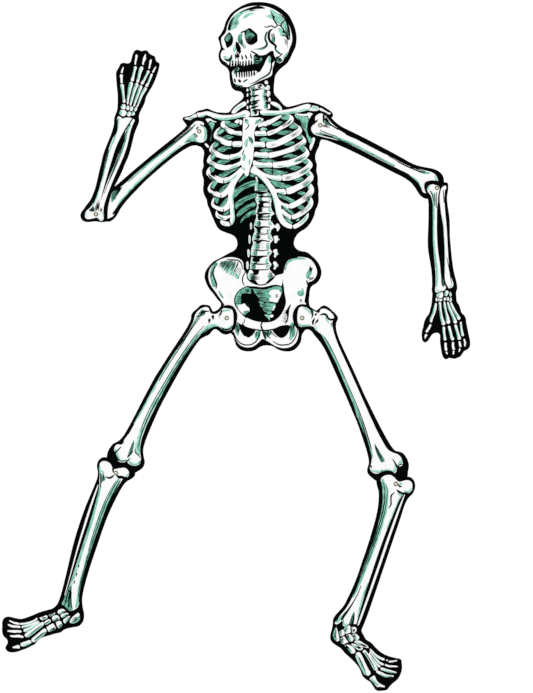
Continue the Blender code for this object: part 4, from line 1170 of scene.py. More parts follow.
def left_shin_greens(ink):
    ink["wash"] += [
        wash("-32,3,2 -31,-3,4.4 -26.5,-7,4.4 -20,-8,2", 0.7, 0.4),
        area("-20,-14 -12,-13.5 -10,-18 -16,-20 -19,-21", 0.55, 70),
        wash("-17,-20,2 -15.5,-35,3.5 -14,-50,3.5 -13,-65,3.2 -12,-80,2.6 -11.8,-95,1.2", 0.35),
        wash("-11,-205,1.6 -10.5,-225,4 -11,-245,4 -12,-262,4 -13.5,-278,2.4", 0.5),
        area("-13,5 -9,6 -6,4 -7,1 -11,2", 0.6, 60),
        wash("28,2,3.5 24,-8,8 17,-17,13 12.5,-26,12 9.5,-36,11 6.5,-48,11 4,-62,11 3,-78,9.5 2,-95,9.5 "
             "1.5,-115,9 2,-135,8.5 2.8,-155,8 3.8,-175,7.5 4.5,-195,6.5 5.5,-215,5 7,-232,3.5 "
             "8.5,-243,2", 0.5, 0.75),
        wash("14,-275,2.4 18,-286,4.6 22,-297,4.4 23,-301,3", 0.6, 0.35),
        wash("1,-296,3 6,-299,3.4 10,-297,3 12,-290,2", 0.6),
        area("-3,-268 -5,-275 -8,-285 -9,-292 -4,-294 -1,-296 -1,-285 -1.5,-275", 0.98, 80),
    ]


def left_shin_lines(ink):
    ink["line"] += [
        line("29,-6,0.6 23.6,-18,1.2 18.4,-32,1.4 13.8,-50,1.5 10.8,-70,1.5 9,-95,1.4 8.2,-125,1.4 "
             "8.4,-155,1.3 9.6,-190,1.2 11,-225,1.2 13.6,-255,1 17.4,-274,0.7"),
        line("24,-6,0.3 17,-18,0.8 12,-34,1 8,-52,1.1 5.6,-75,1.1 4.8,-105,1.1 5,-140,1 6,-175,0.9 "
             "7.4,-205,0.7 8.6,-235,0.4"),
        line("19,-6,0.2 11,-20,0.6 6.6,-38,0.7 3,-60,0.7 1.4,-90,0.7 1.2,-120,0.7 2.2,-155,0.6 "
             "3.6,-190,0.4"),
        line("-19,-18,0.5 -17,-36,1.2 -15.4,-60,0.8"),
        line("20,-276,0.4 23,-288,1.2 25,-298,0.8"),
        line("-26,-11,3 -22,-12.6,3.2 -18,-13.5,3 -10,-12.5,2.8 -6,-10.5,1"),
        line("-22,-14,1.2 -20.5,-25,1.6 -19,-38,2.4 -17.5,-55,3.4 -16.5,-75,4.2 -15.8,-95,4.8 "
             "-15.2,-115,5 -15,-150,5.4 -15,-180,5 -15,-205,4.8 -15,-225,4.6 -15.3,-245,3.6 "
             "-15.6,-262,2.8 -16,-278,2 -16.3,-292,1.6"),
        line("-13,-1,0.8 -9,-2,2.5 -5,0.5,1"),
        line("-3,-17,0.8 1,-25,2 -1,-33,1.6 -4,-42,1.8 -2,-50,0.8"),
        line("0.5,-215,0.6 1,-228,0.8 3,-243,1 6,-257,1.6 9.5,-270,2.6 13,-281,3.4 15.4,-291,3"),
        line("-4.5,-272,0.6 -6.5,-283,2.4 -8,-292,2.4"),
    ]


# ---------------------------------------------------------------- drawings of the head and the neck

def skull_bones(ink):
    """The upper skull, then the jaw."""
    ink["bone"] += [
        area("-12,369.5 3,368 15,364 26,358 36,350 44,340 50,328 54,315 55.5,304 54,294 50,284 47,276 "
             "43,270 39,264 36,258 31,255 26,256 22.5,260 22,265 19.5,270 18.5,276 16,280 10,277.5 "
             "3,272.5 -5,270.5 -13,271 -19,272 -22,268 -22,260 -22,254 -26,252 -34,250.5 -40,249.5 "
             "-50,250.5 -60,249.5 -68,249 -73,252 -77,256.5 -83,260 -87,266 -87,274 -84,280 -79,282 "
             "-83,286 -85.5,293 -86.5,300 -86,306 -81,311.5 -76.5,318 -75,327 -71,338 -65,348 -56,357 "
             "-44,364 -28,368.5"),
        area("-62,240 -57,244 -53,246.5 -51,243 -54,239 -55,236.5 -50,236 -40,237 -30,238 -20,239.5 "
             "-15,238.5 -12,236 -8,239 -5,244 -1,251 2,258 5,264 9,269 12,267 13.5,258 14,252 17,256 "
             "20,259 19,252 16.5,245 15.5,236 14,230.5 9,227 0,223 -10,219 -20,214 -28,209.5 -34,207 "
             "-42,207.5 -50,207.5 -57,209.5 -61,214 -63,221 -64.5,230 -65,236"),
    ]


def skull_greens(ink):
    ink["wash"] += [
        area("-74,321 -72,332 -67,342 -60,350 -50,357 -40,362 -28,363 -22,361.5 -32,358 -42,354.5 "
             "-50,347 -53,340 -50,335 -52,331 -56,326 -62,323 -68,319.5", 0.56, 50),
        stroke("-71,321,3 -69,330,5 -66,338,4 -61,346,1.6", 0.98, 65),
        area("-43,344 -38,345 -31,349 -24,352 -20,354 -26,355.5 -34,354.5 -40,350", 0.5, 20),
        area("12,362 20,359 30,352 37,344 43,334 46,322 49,308 45,312 40,317 37,322 37,328 33,332 "
             "27,334 22,337 17,341 11,344 6,347 3,349 8,351 12,353 11,358", 0.56, -40),
        area("27,325 33,324 37,320 41,314 42,310 36,308 32,309 30,315 28,320", 0.5, -50),
        stroke("41,345,1.6 45.6,332,4 47.4,320,4 48.4,308,1.6", 0.95, -75),
        area("-52,311 -47,314 -44,312 -45,305 -43,298 -42,292 -43,288 -47,291 -51,296 "
             "-54,302", 0.84, 80),
        area("-59,292 -57,285 -57,280 -60,277 -63,280 -62,287", 0.56, 80),
        area("-82,268 -77,268.5 -70,266 -66,270 -64,265 -64,258 -67,257 -69,259 -75,260 "
             "-81,263", 0.56, 10),
        area("15,296 14,302 16,307 19,306 20,300 19,295", 0.85, 80),
        wash("21,284,2.4 25,279,4.4 31,274.6,3", 0.6, 0.8),
        wash("37,265,2 42,270,4.4 47,277,2.4", 0.55),
        area("22,262 26,265.5 32,265 36,261 33,257 28,255.5 24,258", 0.95, 30),
        wash("6,318,1.4 3,313,3.4 2,306,3.6 2,301,3.4 5,296,3.4 5,291,3.4 1,286,3.4 -5,283,3 "
             "-12,283,2.4 -22,283,1", 0.8, 1.0),
        stroke("12,244,1.6 11,236,2.6 7,231,3 0,227,3 -10,222,2.6 -18,217,2.4 -30,212.6,1", 0.98, 20),
        area("7,258 9,268 12.4,266 13,259 11,255", 0.62, 80),
        area("-62,236 -59,243 -53,246 -52,241 -57,236 -59,233", 0.92, 70),
        wash("-61,232,1.4 -58.4,234,2.4 -56.4,236,1.4", 0.6),
        stroke("-59.2,221.4,3.6 -58.8,218.8,3.6", 0.9),
        stroke("-42,217,2 -38,219.6,3 -34,222,1.6", 0.9, 30),
        stroke("-60,214,2 -56,210,3.5 -50,209.8,3.5 -44,209.5,1.6", 0.9, 0),
    ]
    ink["teal"] += [
        area("-21,268 -13,265 -7,268 -5,262 -9,256 -14,254 -20,254 -22,260", 0.9, 30),
    ]


def skull_lines(ink):
    """The sockets and the nose, the outlines and the seams of the crown, then the temple."""
    ink["line"] += [
        area("-30,325 -24,321 -18,316 -14.5,312 -14,306 -14,299 -18,295 -24,291.5 -30,291.5 -35,295 "
             "-38,301 -39.5,308 -40,314 -41,318.5 -36,322"),
        line("-47,315.5,1 -44,317,2 -41,318.5,1.4"),
        area("-71,316.5 -66,312 -63,306 -63,298 -65,292 -69,288 -75,285 -77,290 -79,297 -81,303 "
             "-78,309"),
        area("-57,298 -52,294 -48,287 -47.4,281 -49,276 -53.6,276 -56.6,283 -58,290"),
        area("-56,272 -51,271 -50,267 -54,265 -59,267"),
        line("-56,276,1 -52,272,1.4 -47,279,0.8"),
        line("-80,263,1 -73,260,3 -68,263,3 -66,270,1.4"),
        line("-50,355,0.4 -38,361,1.6 -25,364.4,3.6 -12,366.4,4.4 0,364.6,1.2"),
        line("-72.4,322,0.8 -70.4,331,1.8 -67,339,1.6 -61,347,0.5"),
        line("30,353,0.4 38,346,1.2 44.6,336,2 48,325,2.6 49.8,313,2.2 50.6,302,0.5"),
        line("14,356,0.8 16,350,1.4 20,347,1.4 17,344,1.5 20,340,1.5 22,336,1.5 25,332,1.5 24,328,1.5 "
             "20,326,1.5 15,329,1.5 10,328.5,1.4 5,326.5,1.2 0,328,0.6"),
        line("26,331,0.8 31,330,1.4 35,326,1.5 38,321,1.5 37,317,1.5 43,314,1.4 46,308,1.4 49,303,0.8"),
        line("35,327,0.8 33,332,1.4 37,337,1.4 42,341,0.8"),
        line("36,310,0.8 42,309,1.4 45,305,1.4 48,301,0.8"),
        line("16,323,1 10,318,3.2 8.5,310,3.5 9.5,302,3.5 13,297,3.4 18,293,3.2 22,290,3 22.5,286,2.6 "
             "21,283,1.2"),
        line("19,312,0.5 20,304,1.2 20,297,0.5"),
    ]


def face_lines(ink):
    """The cheek, the jaw and the roots of the teeth, then fine shading over the whole skull."""
    ink["line"] += [
        line("24,259,1 23.4,263,1.6 27,265.8,1.6"),
        line("28,262,1.6 31,260.6,2"),
        line("-27,279,1 -20,275,2 -13,271,1"),
        line("-19,264,0.8 -15,261.6,2 -9,264,0.8"),
        line("-19,259,0.8 -15,257,1.8 -10,259,0.8"),
        line("-8,267,0.8 -11,262,1.2 -9,257,0.8"),
        line("13.4,262,0.8 13.6,254,1.6 14,246,1.8 12,238,1"),
        line("0,265,0.6 -4,256,1.2 -8,248,1.2 -11,242,1 -16,235,0.5"),
        line("-3,264,0.5 -7,256,0.8 -11,249,0.6"),
        line("11,237,1.6 7,232.4,1.4 0,228.4,1 -12,222,0.4"),
        line("-64,216,0.6 -60,211.6,1.4 -52,208.8,1 -44,208.4,0.4"),
        line("-60.6,224,0.6 -59.4,219,2.2 -58.4,216.6,0.8"),
        line("-42,218,0.4 -38,220.4,1.6 -35,222,0.4"),
        line("-60,236,0.5 -57,242,1 -53,244,0.8"),
        line("21.6,290,1.2 21,284,1.2 24,278,1 32,273,1.4 35,272,0.8"),
        line("20,265,0.6 26,266.6,1.6 31,269,1.2 36,274,0.6"),
        line("4,317,0.4 1,308,0.9 0.8,301,0.9 3.4,296,1 3,290.6,1 -2,286.4,0.8 -10,284.4,0.3"),
        line("-51,220.6,3 -49,218,3.4"),
        line("-20.5,239,1.4 -20.5,232,3"),
        line("-59,274,0.6 -57.6,268,1.6 -58,263,0.5"),
        line("-53,264,0.8 -52,260,0.6"),
        line("-46,270,0.8 -44.4,266,2.2 -44.6,262,0.8"),
        line("-38.6,271,0.8 -36.6,267,2.2 -35.4,263,0.8"),
        line("-28,274,0.6 -27,269,1.8 -26,263,0.8"),
        *hatch("40.6,304 43,286 47,283 45,304", 3, 0.5),
        *hatch("13,314 16,300 19,298 18,316", 3, 0.5),
        line("-69,321,0.6 -67.6,329,1.2 -64,338,0.6"),
        *hatch("-64,330 -52,346 -49,344 -60,328", 3, 0.3),
        *hatch("-32,361 -14,364 -12,361 -30,358.6", 3, 0.4),
        *hatch("47,308 45,330 42,330 43,309", 3, 0.6),
        *hatch("47,309 38,317 37,315 45,306", 2, 0.5),
        *hatch("-52,292 -51,307 -47,308 -46,292", 3, 0.5),
        *hatch("-42,283 -42,296 -39,294 -38,284", 3, 0.3),
    ]


def teeth(ink):
    """The dark gaps between the lower teeth, then those between the upper teeth, as (x, top)."""
    lower_gaps = (
        (-56.5, 238.5), (-50.5, 238), (-45.5, 238), (-40.5, 238.5), (-36, 239), (-31, 239), (-26, 240),
    )
    upper_gaps = (
        (-69, 258), (-63.5, 259), (-57.5, 258.5), (-52.5, 259), (-48.5, 257), (-43, 258), (-37, 259),
        (-31, 260), (-26, 259),
    )
    upper_end = 251
    for x, top in lower_gaps:
        path = f"{x},{top},2.2 {x + 0.2},{top - 5},2 {x + 0.4},{top - 9},1.7 {x + 0.4},{top - 12},0.8"
        ink["line"] += [line(path)]
    for x, top in upper_gaps:
        ink["line"] += [line(f"{x},{top},1.4 {x},{top - 4},1.9 {x - 0.2},{upper_end},2.8")]


def eye_sockets(ink):
    """The green light in the two black sockets."""
    ink["glow"] += [
        area("-38,317 -32,321 -28,317 -20,311 -24,306 -29,300 -33,297 -36,301 -38,308", 0.91, 60),
        *hatch("-37,300 -24,316 -20,311 -34,297", 4, 1.0, 1.3),
        area("-71,313 -67,309 -68,303 -74,298 -78,300 -78,305", 0.91, 70),
    ]


def neck_bones(ink):
    ink["bone"] += [
        area("1,213.6 1,219 5,219.5 7,216 6,213"),
        area("4,201.6 4,208 7,211 10,208.6 10,203 7,201"),
        area("5,189 5,197 8,200 11,197 11,191 8,188"),
        area("8,178.5 8,184 10,186 12,183 12,179"),
        area("7,163.6 7,171 9,173 11,170 11,165 9,163"),
        area("-36,199 -35.4,203 -33,203.6 -32,200 -33.6,198.6"),
        area("-35.4,188 -35,193.6 -33,194 -32.6,189"),
        area("-35,175 -34.6,180.6 -32.6,181 -32,176"),
        area("-35.4,163 -35,168.6 -33,169 -32.6,164"),
        area("-29,207 -24,209 -18,211 -10,213 -4,212 0,208 5,205 4,200 1,197 3,193 5,190 2,186 2,181 "
             "6,178 7,175 3,171 4,166 6,163 0,161 -8,162 -12,160 -12,152 -16,150 -22,150 -27,149 "
             "-27,156 -28,163 -30,168 -27,172 -26,177 -29,181 -26,186 -27,191 -30,194 -27,198 -29,202"),
    ]


def neck_greens(ink):
    ink["wash"] += [
        wash("-25,206,5 -23,198,7 -24,190,6 -22,183,7 -23,175,6 -22,167,8 -23,158,6 "
             "-23,152,4", 0.35, 0.75),
        wash("-1,208,3 -1,199,4 -2,191,5 -1,183,5 1,175,5 1,168,5 2,163,3", 0.4, 0.75),
        area("-29,206.6 -25,208 -24,204 -27,202", 0.9, 0),
        wash("6.6,207,1 7.4,204,2 7,202,1", 0.5),
        wash("8,195,1 9,192,2.4 8,189,1", 0.5),
    ]


def neck_lines(ink):
    ink["line"] += [
        line("-25,200.6,1.2 -17,201.2,2.6 -9,203.2,1.2 -3,203,0.5"),
        line("-26,188.4,1.4 -19,189.2,3 -12,190.6,1"),
        line("-25,177.6,1.4 -18,178.2,3 -10,181,0.8"),
        line("-27,171.6,1.6 -20,173.4,2.8 -13,176,0.8"),
        line("-27,164.6,1.4 -19,166.8,2.4 -12,169.4,0.8"),
        line("-24,159.6,1.4 -16,161.2,2.6 -6,161,1"),
        line("-13,206,1.4 -9,206.2,1.6"),
        area("-31,199 -28,199.6 -27,196 -28.6,193 -31.6,195"),
        area("-31,189 -27.6,188.6 -26.6,184 -28.6,181 -31.6,184"),
        area("-31,177 -28,176.6 -27.4,172 -29.4,170 -32,173"),
        area("1,190 4,190.6 6,187 4,183.4 1.6,185"),
        area("2,177.6 5,178 8,175 6,171.6 3,173"),
        area("0,201 3,202 5,200 3,198 0.6,199"),
        area("-24,160 -20,161 -14,158 -16,153 -20,152 -20,156"),
        *hatch("-9,212.6 -2,209 -4,206 -14,210", 4, 0.7),
        *hatch("-24,207 -16,210 -15,205 -24,203", 3, 0.7),
        *hatch("-26,200 -16,197 -16,191 -25,191", 4, 0.4),
        *hatch("-25,187.6 -15,186 -16,180 -25,180", 3, 0.4),
        *hatch("-25,176 -14,175 -14,169 -26,167", 4, 0.4),
        *hatch("-25,164 -16,164 -14,161 -25,160", 2, 0.5),
        *hatch("3,196 -3,195 -3,188 3,188", 3, 0.7),
        *hatch("5,182 -1,180 0,166 5,166", 5, 0.7),
    ]


def bones_above_collar(ink):
    """The two slips of bone above the collar bones, at either side of the neck."""
    ink["bone"] += [
        area("-66,156 -60,165 -50,173 -40,178 -36,174 -38,170 -47,165 -55,158 -60,154"),
        area("12,174 14,178 25,175 33,168 35,161 31,161 27,165 20,169"),
    ]
    ink["wash"] += [
        wash("-59,159,1.6 -52,166,3.4 -43,172,1.6", 0.45),
        wash("24,169,1.4 28,166,2.8 31.6,162.6,1.6", 0.45),
    ]


# ---------------------------------------------------------------- drawings of the chest

def collar_bones(ink):
    ink["bone"] += [
        area("-135,155 -127,156 -115,158.5 -105,156 -95,153 -85,151 -70,151 -60,152.5 -50,156 -40,160.5 "
             "-33,159 -29,155 -30,150 -33,147 -42,147 -52,146 -65,143 -78,141 -90,142 -100,144.5 "
             "-110,149 -118,151 -124,147 -131,144 -134,150"),
        area("-160,144 -152,141.5 -145,141 -140,144 -135,147 -137,153 -141,152 -148,147.5 -155,146"),
        area("-119,139 -116,143.5 -108,143.5 -101,139 -96,138 -98,136.5 -104,138 -108,140 -112,137 "
             "-114,133 -117,136"),
        area("-120,93 -116,94 -111,88 -114,86"),
        area("-9,159 -2,161 10,160 25,159.5 40,161 55,164 68,168 80,172 88,173 94,170 100,169.5 106,168 "
             "109,164 107,160 100,159 92,159.5 85,160 70,156.5 55,154 40,152 25,151 10,150.5 -5,151.5"),
        area("109,163.5 113,165 120,161 127,156.5 132,155 131,152.5 125,153 119,156.5 112,160"),
        stroke("62,153,2 75,151,4 87,151,4 90,146,4 92,139,2"),
        area("86,155 93,155 97,152 95,145 93,139 89,145"),
        area("96,105 100,106 101,102 98,92 94,83 92,80 90,86 91,91 94,97"),
    ]
    ink["wash"] += [
        wash("-129,146.6,2 -123,149,3.6 -118,151.6,2", 0.5),
        wash("-99,146,2 -90,143.4,4 -80,142.6,4.5 -62,145.4,4.5 -45,149.4,4 -37,152.6,2", 0.6, 0.4),
        wash("-154,144,1.4 -147,144.4,3 -141,147.4,1.6", 0.5),
        wash("-8,153,2 10,152.6,4.5 30,153.6,4.5 55,156.4,4.5 75,160,4.5 92,163,2", 0.6, 0.4),
        area("95,161.4 96,167 101,168.4 106,166.4 107.6,163 102,160.6", 0.5, 0),
    ]
    ink["teal"] += [
        area("-113,130 -110,136 -104,138 -100,134 -102,127 -106,119 -109,123", 0.6, 70),
        stroke("-107,122,3 -105.6,112,3 -107,104,2 -108,99,1.2", 0.95, 80),
        area("60,151 70,149 82,148 86,146 88,140 91,136 88,131 85,125 86,118 88,110 93,105 96,103 96,98 "
             "93,93 90,95 86,104 83,115 79,122 73,131 66,141", 0.56, 75),
    ]
    ink["line"] += [
        line("95,170.4,0.8 93.4,168,2 92,166,0.8"),
        *hatch("63,146 79,122 82,121 72,143", 5, 0.5),
        *hatch("74,138 84,114 86,114 79,138", 3, 0.2),
    ]


def breast_bone(ink):
    ink["bone"] += [
        area("-42,143 -38,146 -30,146.5 -20,146 -10,146 -2,142 -8,136 -15,130 -19,123 -21,112 -20,104 "
             "-20,95 -21,86 -22,76 -22.5,66 -25,56 -28,47 -30,40 -31.5,33 -34,29 -38,29 -40,34 -43,42 "
             "-46,50 -48,58 -47,66 -45,75 -44,88 -44.5,100 -44,112 -43.5,122 -43,132"),
    ]
    ink["wash"] += [
        area("-39,142.6 -36,143.4 -32.6,141 -32,136 -34,132.6 -37,134 -39.6,138", 0.7, 80),
        wash("-19,133,3 -13,138,7 -6,142,3.4", 0.5, 0.75),
        wash("-34,104,3 -36.5,95,7 -37,86,3", 0.45, 0.6),
        stroke("-31,107,3 -27,101,8 -24,94,3", 0.84, 70),
        wash("-25,96,1.6 -24.6,92,3 -25,88,1.6", 0.4),
        wash("-40,73,2.4 -41,65,6.6 -42,59,2.4", 0.6, 0.75),
        wash("-30,62,1.6 -30,56,3.6 -30,50,1.6", 0.7),
        wash("-42,46,1 -40.6,43,3 -39,40,1", 0.7),
    ]
    ink["line"] += [
        line("-38,141.6,1 -36.4,140.4,1.4"),
        *hatch("-31,105 -27,94 -24,96 -27,107", 3, 0.3),
        *hatch("-18,134 -8,142 -6,141 -15,134", 2, 0.2),
        line("-10,141.6,1.2 -8,140.6,2"),
        line("-31,133,0.6 -33,127,1.2 -38,122,0.6"),
        line("-41,80,0.6 -43,75.4,1.2 -45,71,0.6"),
    ]


def right_ribs(ink):
    """The figure's right ribs, from the top down, then the cartilage that joins them."""
    ribs = (
        "-60,137 -54,142 -51,141 -53,134",
        "-50,141 -45,140 -45,133 -49,132",
        "-80,139 -86,137 -87.5,131 -85,126 -79,121 -72,115 -65,112.5 -62,117 -61,121 -67,123 -74,127 "
        "-79,132",
        "-60,119 -52,118.5 -46,118 -45,112 -47,110 -55,111 -62,112.5 -63,116",
        "-88,127 -95,123 -100,116 -101.5,109 -99,103 -92,98 -84,93 -75,89.5 -67,89.5 -66,94 -66,99 "
        "-73,99.5 -80,103 -88,107.5 -93,111 -95,116 -93,121",
        "-64,97 -55,98.5 -46,98 -45,92 -47,88 -55,87.5 -63,88.5",
        "-98,98 -104,93 -109,86 -110.5,80 -107,76 -102,71 -95,67 -85,64 -75,62.5 -71,62.5 -70.5,70.5 "
        "-78,71 -87,74 -95,79 -101,83 -104,88 -103,92",
        "-69,71 -60,73 -51,76.5 -45,82 -45,72 -48,67 -54,65 -62,63 -69,62.5",
        "-105,73 -110,70 -114,63 -115,58 -112,54 -105,50 -98,45 -90,42 -80,40.5 -77,41 -75,46 -75,50 "
        "-80,50.5 -88,52 -97,55 -104,60 -108,63 -109,67 -106,72",
        "-74,50.5 -66,51.5 -58,54 -50,58 -47,61 -47,53 -49,50 -55,47 -62,44.5 -68,42.5 -76,41.5",
        "-108,48 -113,44 -116,38 -116,32 -113,29 -107,23 -100,18 -92,16 -84,15 -82,15.5 -81,24.5 "
        "-85,25.5 -92,28 -100,31 -106,36 -110,41 -109,46",
        "-102,19 -108,14 -113,6 -113,0 -109,-5 -103,-9 -96,-12 -89,-14 -84,-14 -78,-11 -74,-7 -72,0 "
        "-70,10 -72,11 -78,4 -84,-3 -88,-5 -93,-3 -100,-1 -107,3 -109,7 -107,12",
        "-101,-13 -105,-20 -106.5,-27 -104,-33 -98,-37 -92,-40 -86,-41.5 -82,-42.5 -78,-41 -73,-38 "
        "-70,-35 -70,-24 -72,-12 -74,-20 -78,-28 -83,-33 -87,-33.5 -93,-31 -99,-27 -102,-21",
        "-96,-40 -98,-46 -97,-52 -92,-56 -88,-57 -81,-59 -76,-58 -75,-51 -81,-50.5 -88,-49 -93,-46",
        "-88,-60 -88,-65 -84,-69 -77,-71 -70,-71 -68,-68 -72,-63 -78,-62 -84,-60",
    )
    ink["bone"] += [area(rib) for rib in ribs]
    ink["bone"] += [
        area("-81,25 -72,27 -64,32 -56,38 -50,44 -46,46 -41,37 -41,36 -46,30 -52,22 -57,14 -60,6 -62,-2 "
             "-63,-12 -62,-22 -61,-35 -60,-45 -59.5,-55 -61,-62 -66,-69 -69,-60 -68,-50 -69,-40 -69,-30 "
             "-71,-20 -73,-8 -74,4 -72,11 -68,18.5 -74,16.5 -81,15.5"),
        stroke("-76,-54.6,5 -69,-51,5"),
    ]


def right_ribs_greens(ink):
    """Green on the white ribs, then the green backs of ribs between them."""
    ink["wash"] += [
        stroke("-85,126,1.4 -79,121,3.5 -74,118,1.4", 0.9, -45),
        stroke("-98,103,1.4 -92,99,3 -86,96,1.4", 0.9, -40),
        stroke("-108,80,1.4 -102,74,3.5 -98,70,1.4", 0.9, -45),
        stroke("-112,55,1.2 -105,51,3 -100,48.6,1.2", 0.9, -35),
        stroke("-113,33,1.2 -108,27,3.6 -101,21,4 -96,19,1.4", 0.9, -40),
        stroke("-109,-4,1.2 -105,-6.6,3 -102,-8,1.2", 0.9, -30),
        stroke("-94,-50,1.2 -86,-55,3 -80,-57,1.2", 0.9, -30),
        wash("-84,-65,1.2 -81,-66.8,2.6 -78,-68,1.2", 0.5),
        wash("-61,113.6,1.6 -54,112.6,3 -48,112,1.6", 0.5),
        wash("-62,90,1.6 -55,89.6,3 -48,90.4,1.6", 0.45),
        wash("-68,64.4,1.6 -58,66,3.4 -50,69.4,2", 0.55),
        wash("-72,43.6,1.6 -62,46.6,3 -52,51.4,2", 0.5),
        wash("-80,17.4,1.6 -72,19,3.4 -62,25,3.4 -54,33,2", 0.5),
        wash("-61.4,-32,1.4 -61.6,-42,3 -61.6,-52,3.4 -62.4,-60,3 -65,-66,1.6", 0.35, 0.6),
        wash("-60,8,1.4 -62.6,-4,2.8 -63.6,-16,2.8 -63,-28,1.4", 0.3, 0.55),
    ]
    ink["teal"] += [
        area("-79,139 -68,138 -72,134 -77,133", 0.6, 0),
        area("-77,131 -70,134.5 -64,135 -57,133 -50,130 -55,128 -62,126 -70,128", 0.8, 10),
        area("-95,118 -88,124 -81,119 -91,112", 0.65, 40),
        area("-87,106 -80,109 -73,111 -66,109 -62,107.5 -68,104 -75,102 -81,104", 0.8, 10),
        area("-104,90 -99,97 -95,95 -91,93 -94,89 -100,86", 0.65, 40),
        area("-95,82 -88,86 -80,88.5 -72,87.5 -66,85 -70,83 -76,81 -83,77 -90,78", 0.8, 10),
        area("-109,66 -105,70 -100,70.5 -98,67 -103,61.5 -107,63", 0.65, 40),
        area("-96,56 -90,60 -82,62 -72,61.5 -67,61 -72,57 -79,54 -86,52.5 -92,53.5", 0.8, 10),
        area("-110,44 -106,47 -100,44 -103,37 -108,40", 0.65, 40),
        area("-92,30 -85,35 -78,39 -68,40 -58,43 -49,47 -60,40 -68,35 -76,30 -83,27", 0.8, 25),
        area("-108,9 -104,15 -100,19 -95,17.5 -95,14 -99,8 -102,3 -106,4", 0.65, 50),
        area("-91,-1 -86,5 -80,10 -72,13 -74,8 -78,3 -83,-2 -87,-4.5", 0.8, 40),
        area("-102,-19 -98,-14 -92,-16 -92,-20 -96,-27 -100,-25", 0.65, 50),
        area("-89,-31 -83,-23 -77,-15 -74,-13.5 -75,-20 -79,-28 -84,-33", 0.8, 50),
        area("-82,-47 -76,-43 -70,-39 -71,-44 -75,-49 -80,-49", 0.76, 30),
    ]


def right_ribs_lines(ink):
    ink["line"] += [
        line("-81.5,15,1 -81.5,20,1"),
        line("-87,-8.6,0.8 -87,-13,1.2"),
        line("-82,-37.6,0.8 -82,-41.4,1.2"),
        line("-70,-63,1.4 -67,-69,1.2"),
        *hatch("-84,124 -78,119 -70,121.6 -80,127", 3, 0.4),
        *hatch("-98,112 -84,101 -80,103.4 -95,114", 3, 0.4),
        *hatch("-108,84 -92,73 -88,75.4 -104,86", 3, 0.4),
        *hatch("-111,58 -96,50 -91,52 -107,61", 3, 0.4),
        *hatch("-110,34 -96,24 -94,26 -107,36", 4, 0.6),
        *hatch("-109,4 -96,-6 -94,-5 -106,6", 4, 0.6),
        *hatch("-103,-24 -92,-35 -89,-34 -100,-22", 4, 0.6),
    ]


def left_ribs(ink):
    """The figure's left ribs, from the top down, then the cartilage that joins them."""
    ribs = (
        "3,139 12,142 22,147 30,150 35,149 25,141 16,135 8,131 5,133",
        "2,138 -5,136 -12,132 -12,127 -3,129 5,129.5",
        "45,152 52,151 57,147 58.5,141 56,136 50,131 44,127 36,123 28,118 20,114 12,111 7,110 5,116 "
        "9,119 16,121 24,124 32,129 40,134 46,139 50,145 50,149",
        "-19,118 -8,118.5 2,118.5 4,112 3,110 -8,109.5 -18,110",
        "57,135 60,135 66,131 72,127 75,121 74,116 70,111 63,107 56,103 48,98 38,93 28,89 18,86 8,85 "
        "4,88 3,93 6,97 14,98 22,100 32,104 42,109 52,114 60,119 66,123 68,127 64,131",
        "-20,97 -10,97 -1,97 1,92 0,87 -10,87.5 -20,88",
        "72,113 78,108 82,103 83.5,97 80,91 72,85 62,80 50,76 40,73 30,70 20,67 10,65 8,70 8,75 18,77 "
        "30,79.5 42,83 54,88 64,93 72,98 77,103 76,108",
        "-19,77 -8,76 5,76.5 7,70 7,66 -5,65.5 -15,67 -21,69",
        "75,89 80,88 86,82 89,77 89,71 82,63 74,57 64,52.5 52,49 40,47 28,45.5 18,46 17,51 17,56 25,57 "
        "35,58.5 45,60 55,63 65,67 75,72 81,77 83,82 79,87",
        "-22,60 -12,57 0,55.5 14,56 15,47 5,46.5 -5,46 -14,46.5 -22,49.5",
        "83,65 90,61 95,55 96,49 93,44 88,39 80,33 70,27 60,23 50,20.5 42,20 37,20 35,26 36,31 42,32 "
        "52,34 62,37 72,42 80,47 86,53 88,57 85,62",
        "89,40 95,35 98,28 97,22 92,16 85,10 76,5 66,0 57,-5 50,-7 45,-6 44,0 44,5 55,8 65,12 75,17 "
        "83,23 89,30 90,35 87,39",
        "91,14 96,10 99,3 98,-4 93,-12 86,-18 78,-24 68,-30 60,-34 54,-36 50,-35 49,-31 50,-27 58,-23 "
        "68,-18 77,-12 85,-4 90,4 91,10",
        "93,-14 97,-20 97,-28 92,-37 85,-43 77,-49 68,-54 60,-57 56,-57 54.5,-53 55,-49 62,-47 70,-42 "
        "78,-37 85,-30 90,-23 91,-17",
        "88,-45 88,-52 85,-58 78,-66 70,-72 62,-76 58,-75 57,-70 66,-65 73,-60 80,-53 86,-46",
    )
    ink["bone"] += [area(rib) for rib in ribs]
    ink["bone"] += [
        area("-22,49 -10,41 0,35 10,31.5 22,30 33,30 33,20 20,21 10,24 1,28 8,22 14,13 20,6 22,3 32,3 "
             "41,2 43,-7 35,-7 28,-5 24,-5 27,-14 31,-20 38,-25 46,-27 48,-28 48,-36 42,-34 36,-31 "
             "33,-30 34,-38 36,-37 43,-43 50,-48 53,-50 52,-58 45,-54 38,-49 35,-46 38,-54 43,-61 "
             "49,-66 55,-69 54,-76 47,-75 40,-72 33,-66 28,-58 24,-50 22,-38 20,-28 17,-18 13,-8 9,0 "
             "2,9 -5,18 -12,27 -20,33 -28,37"),
    ]


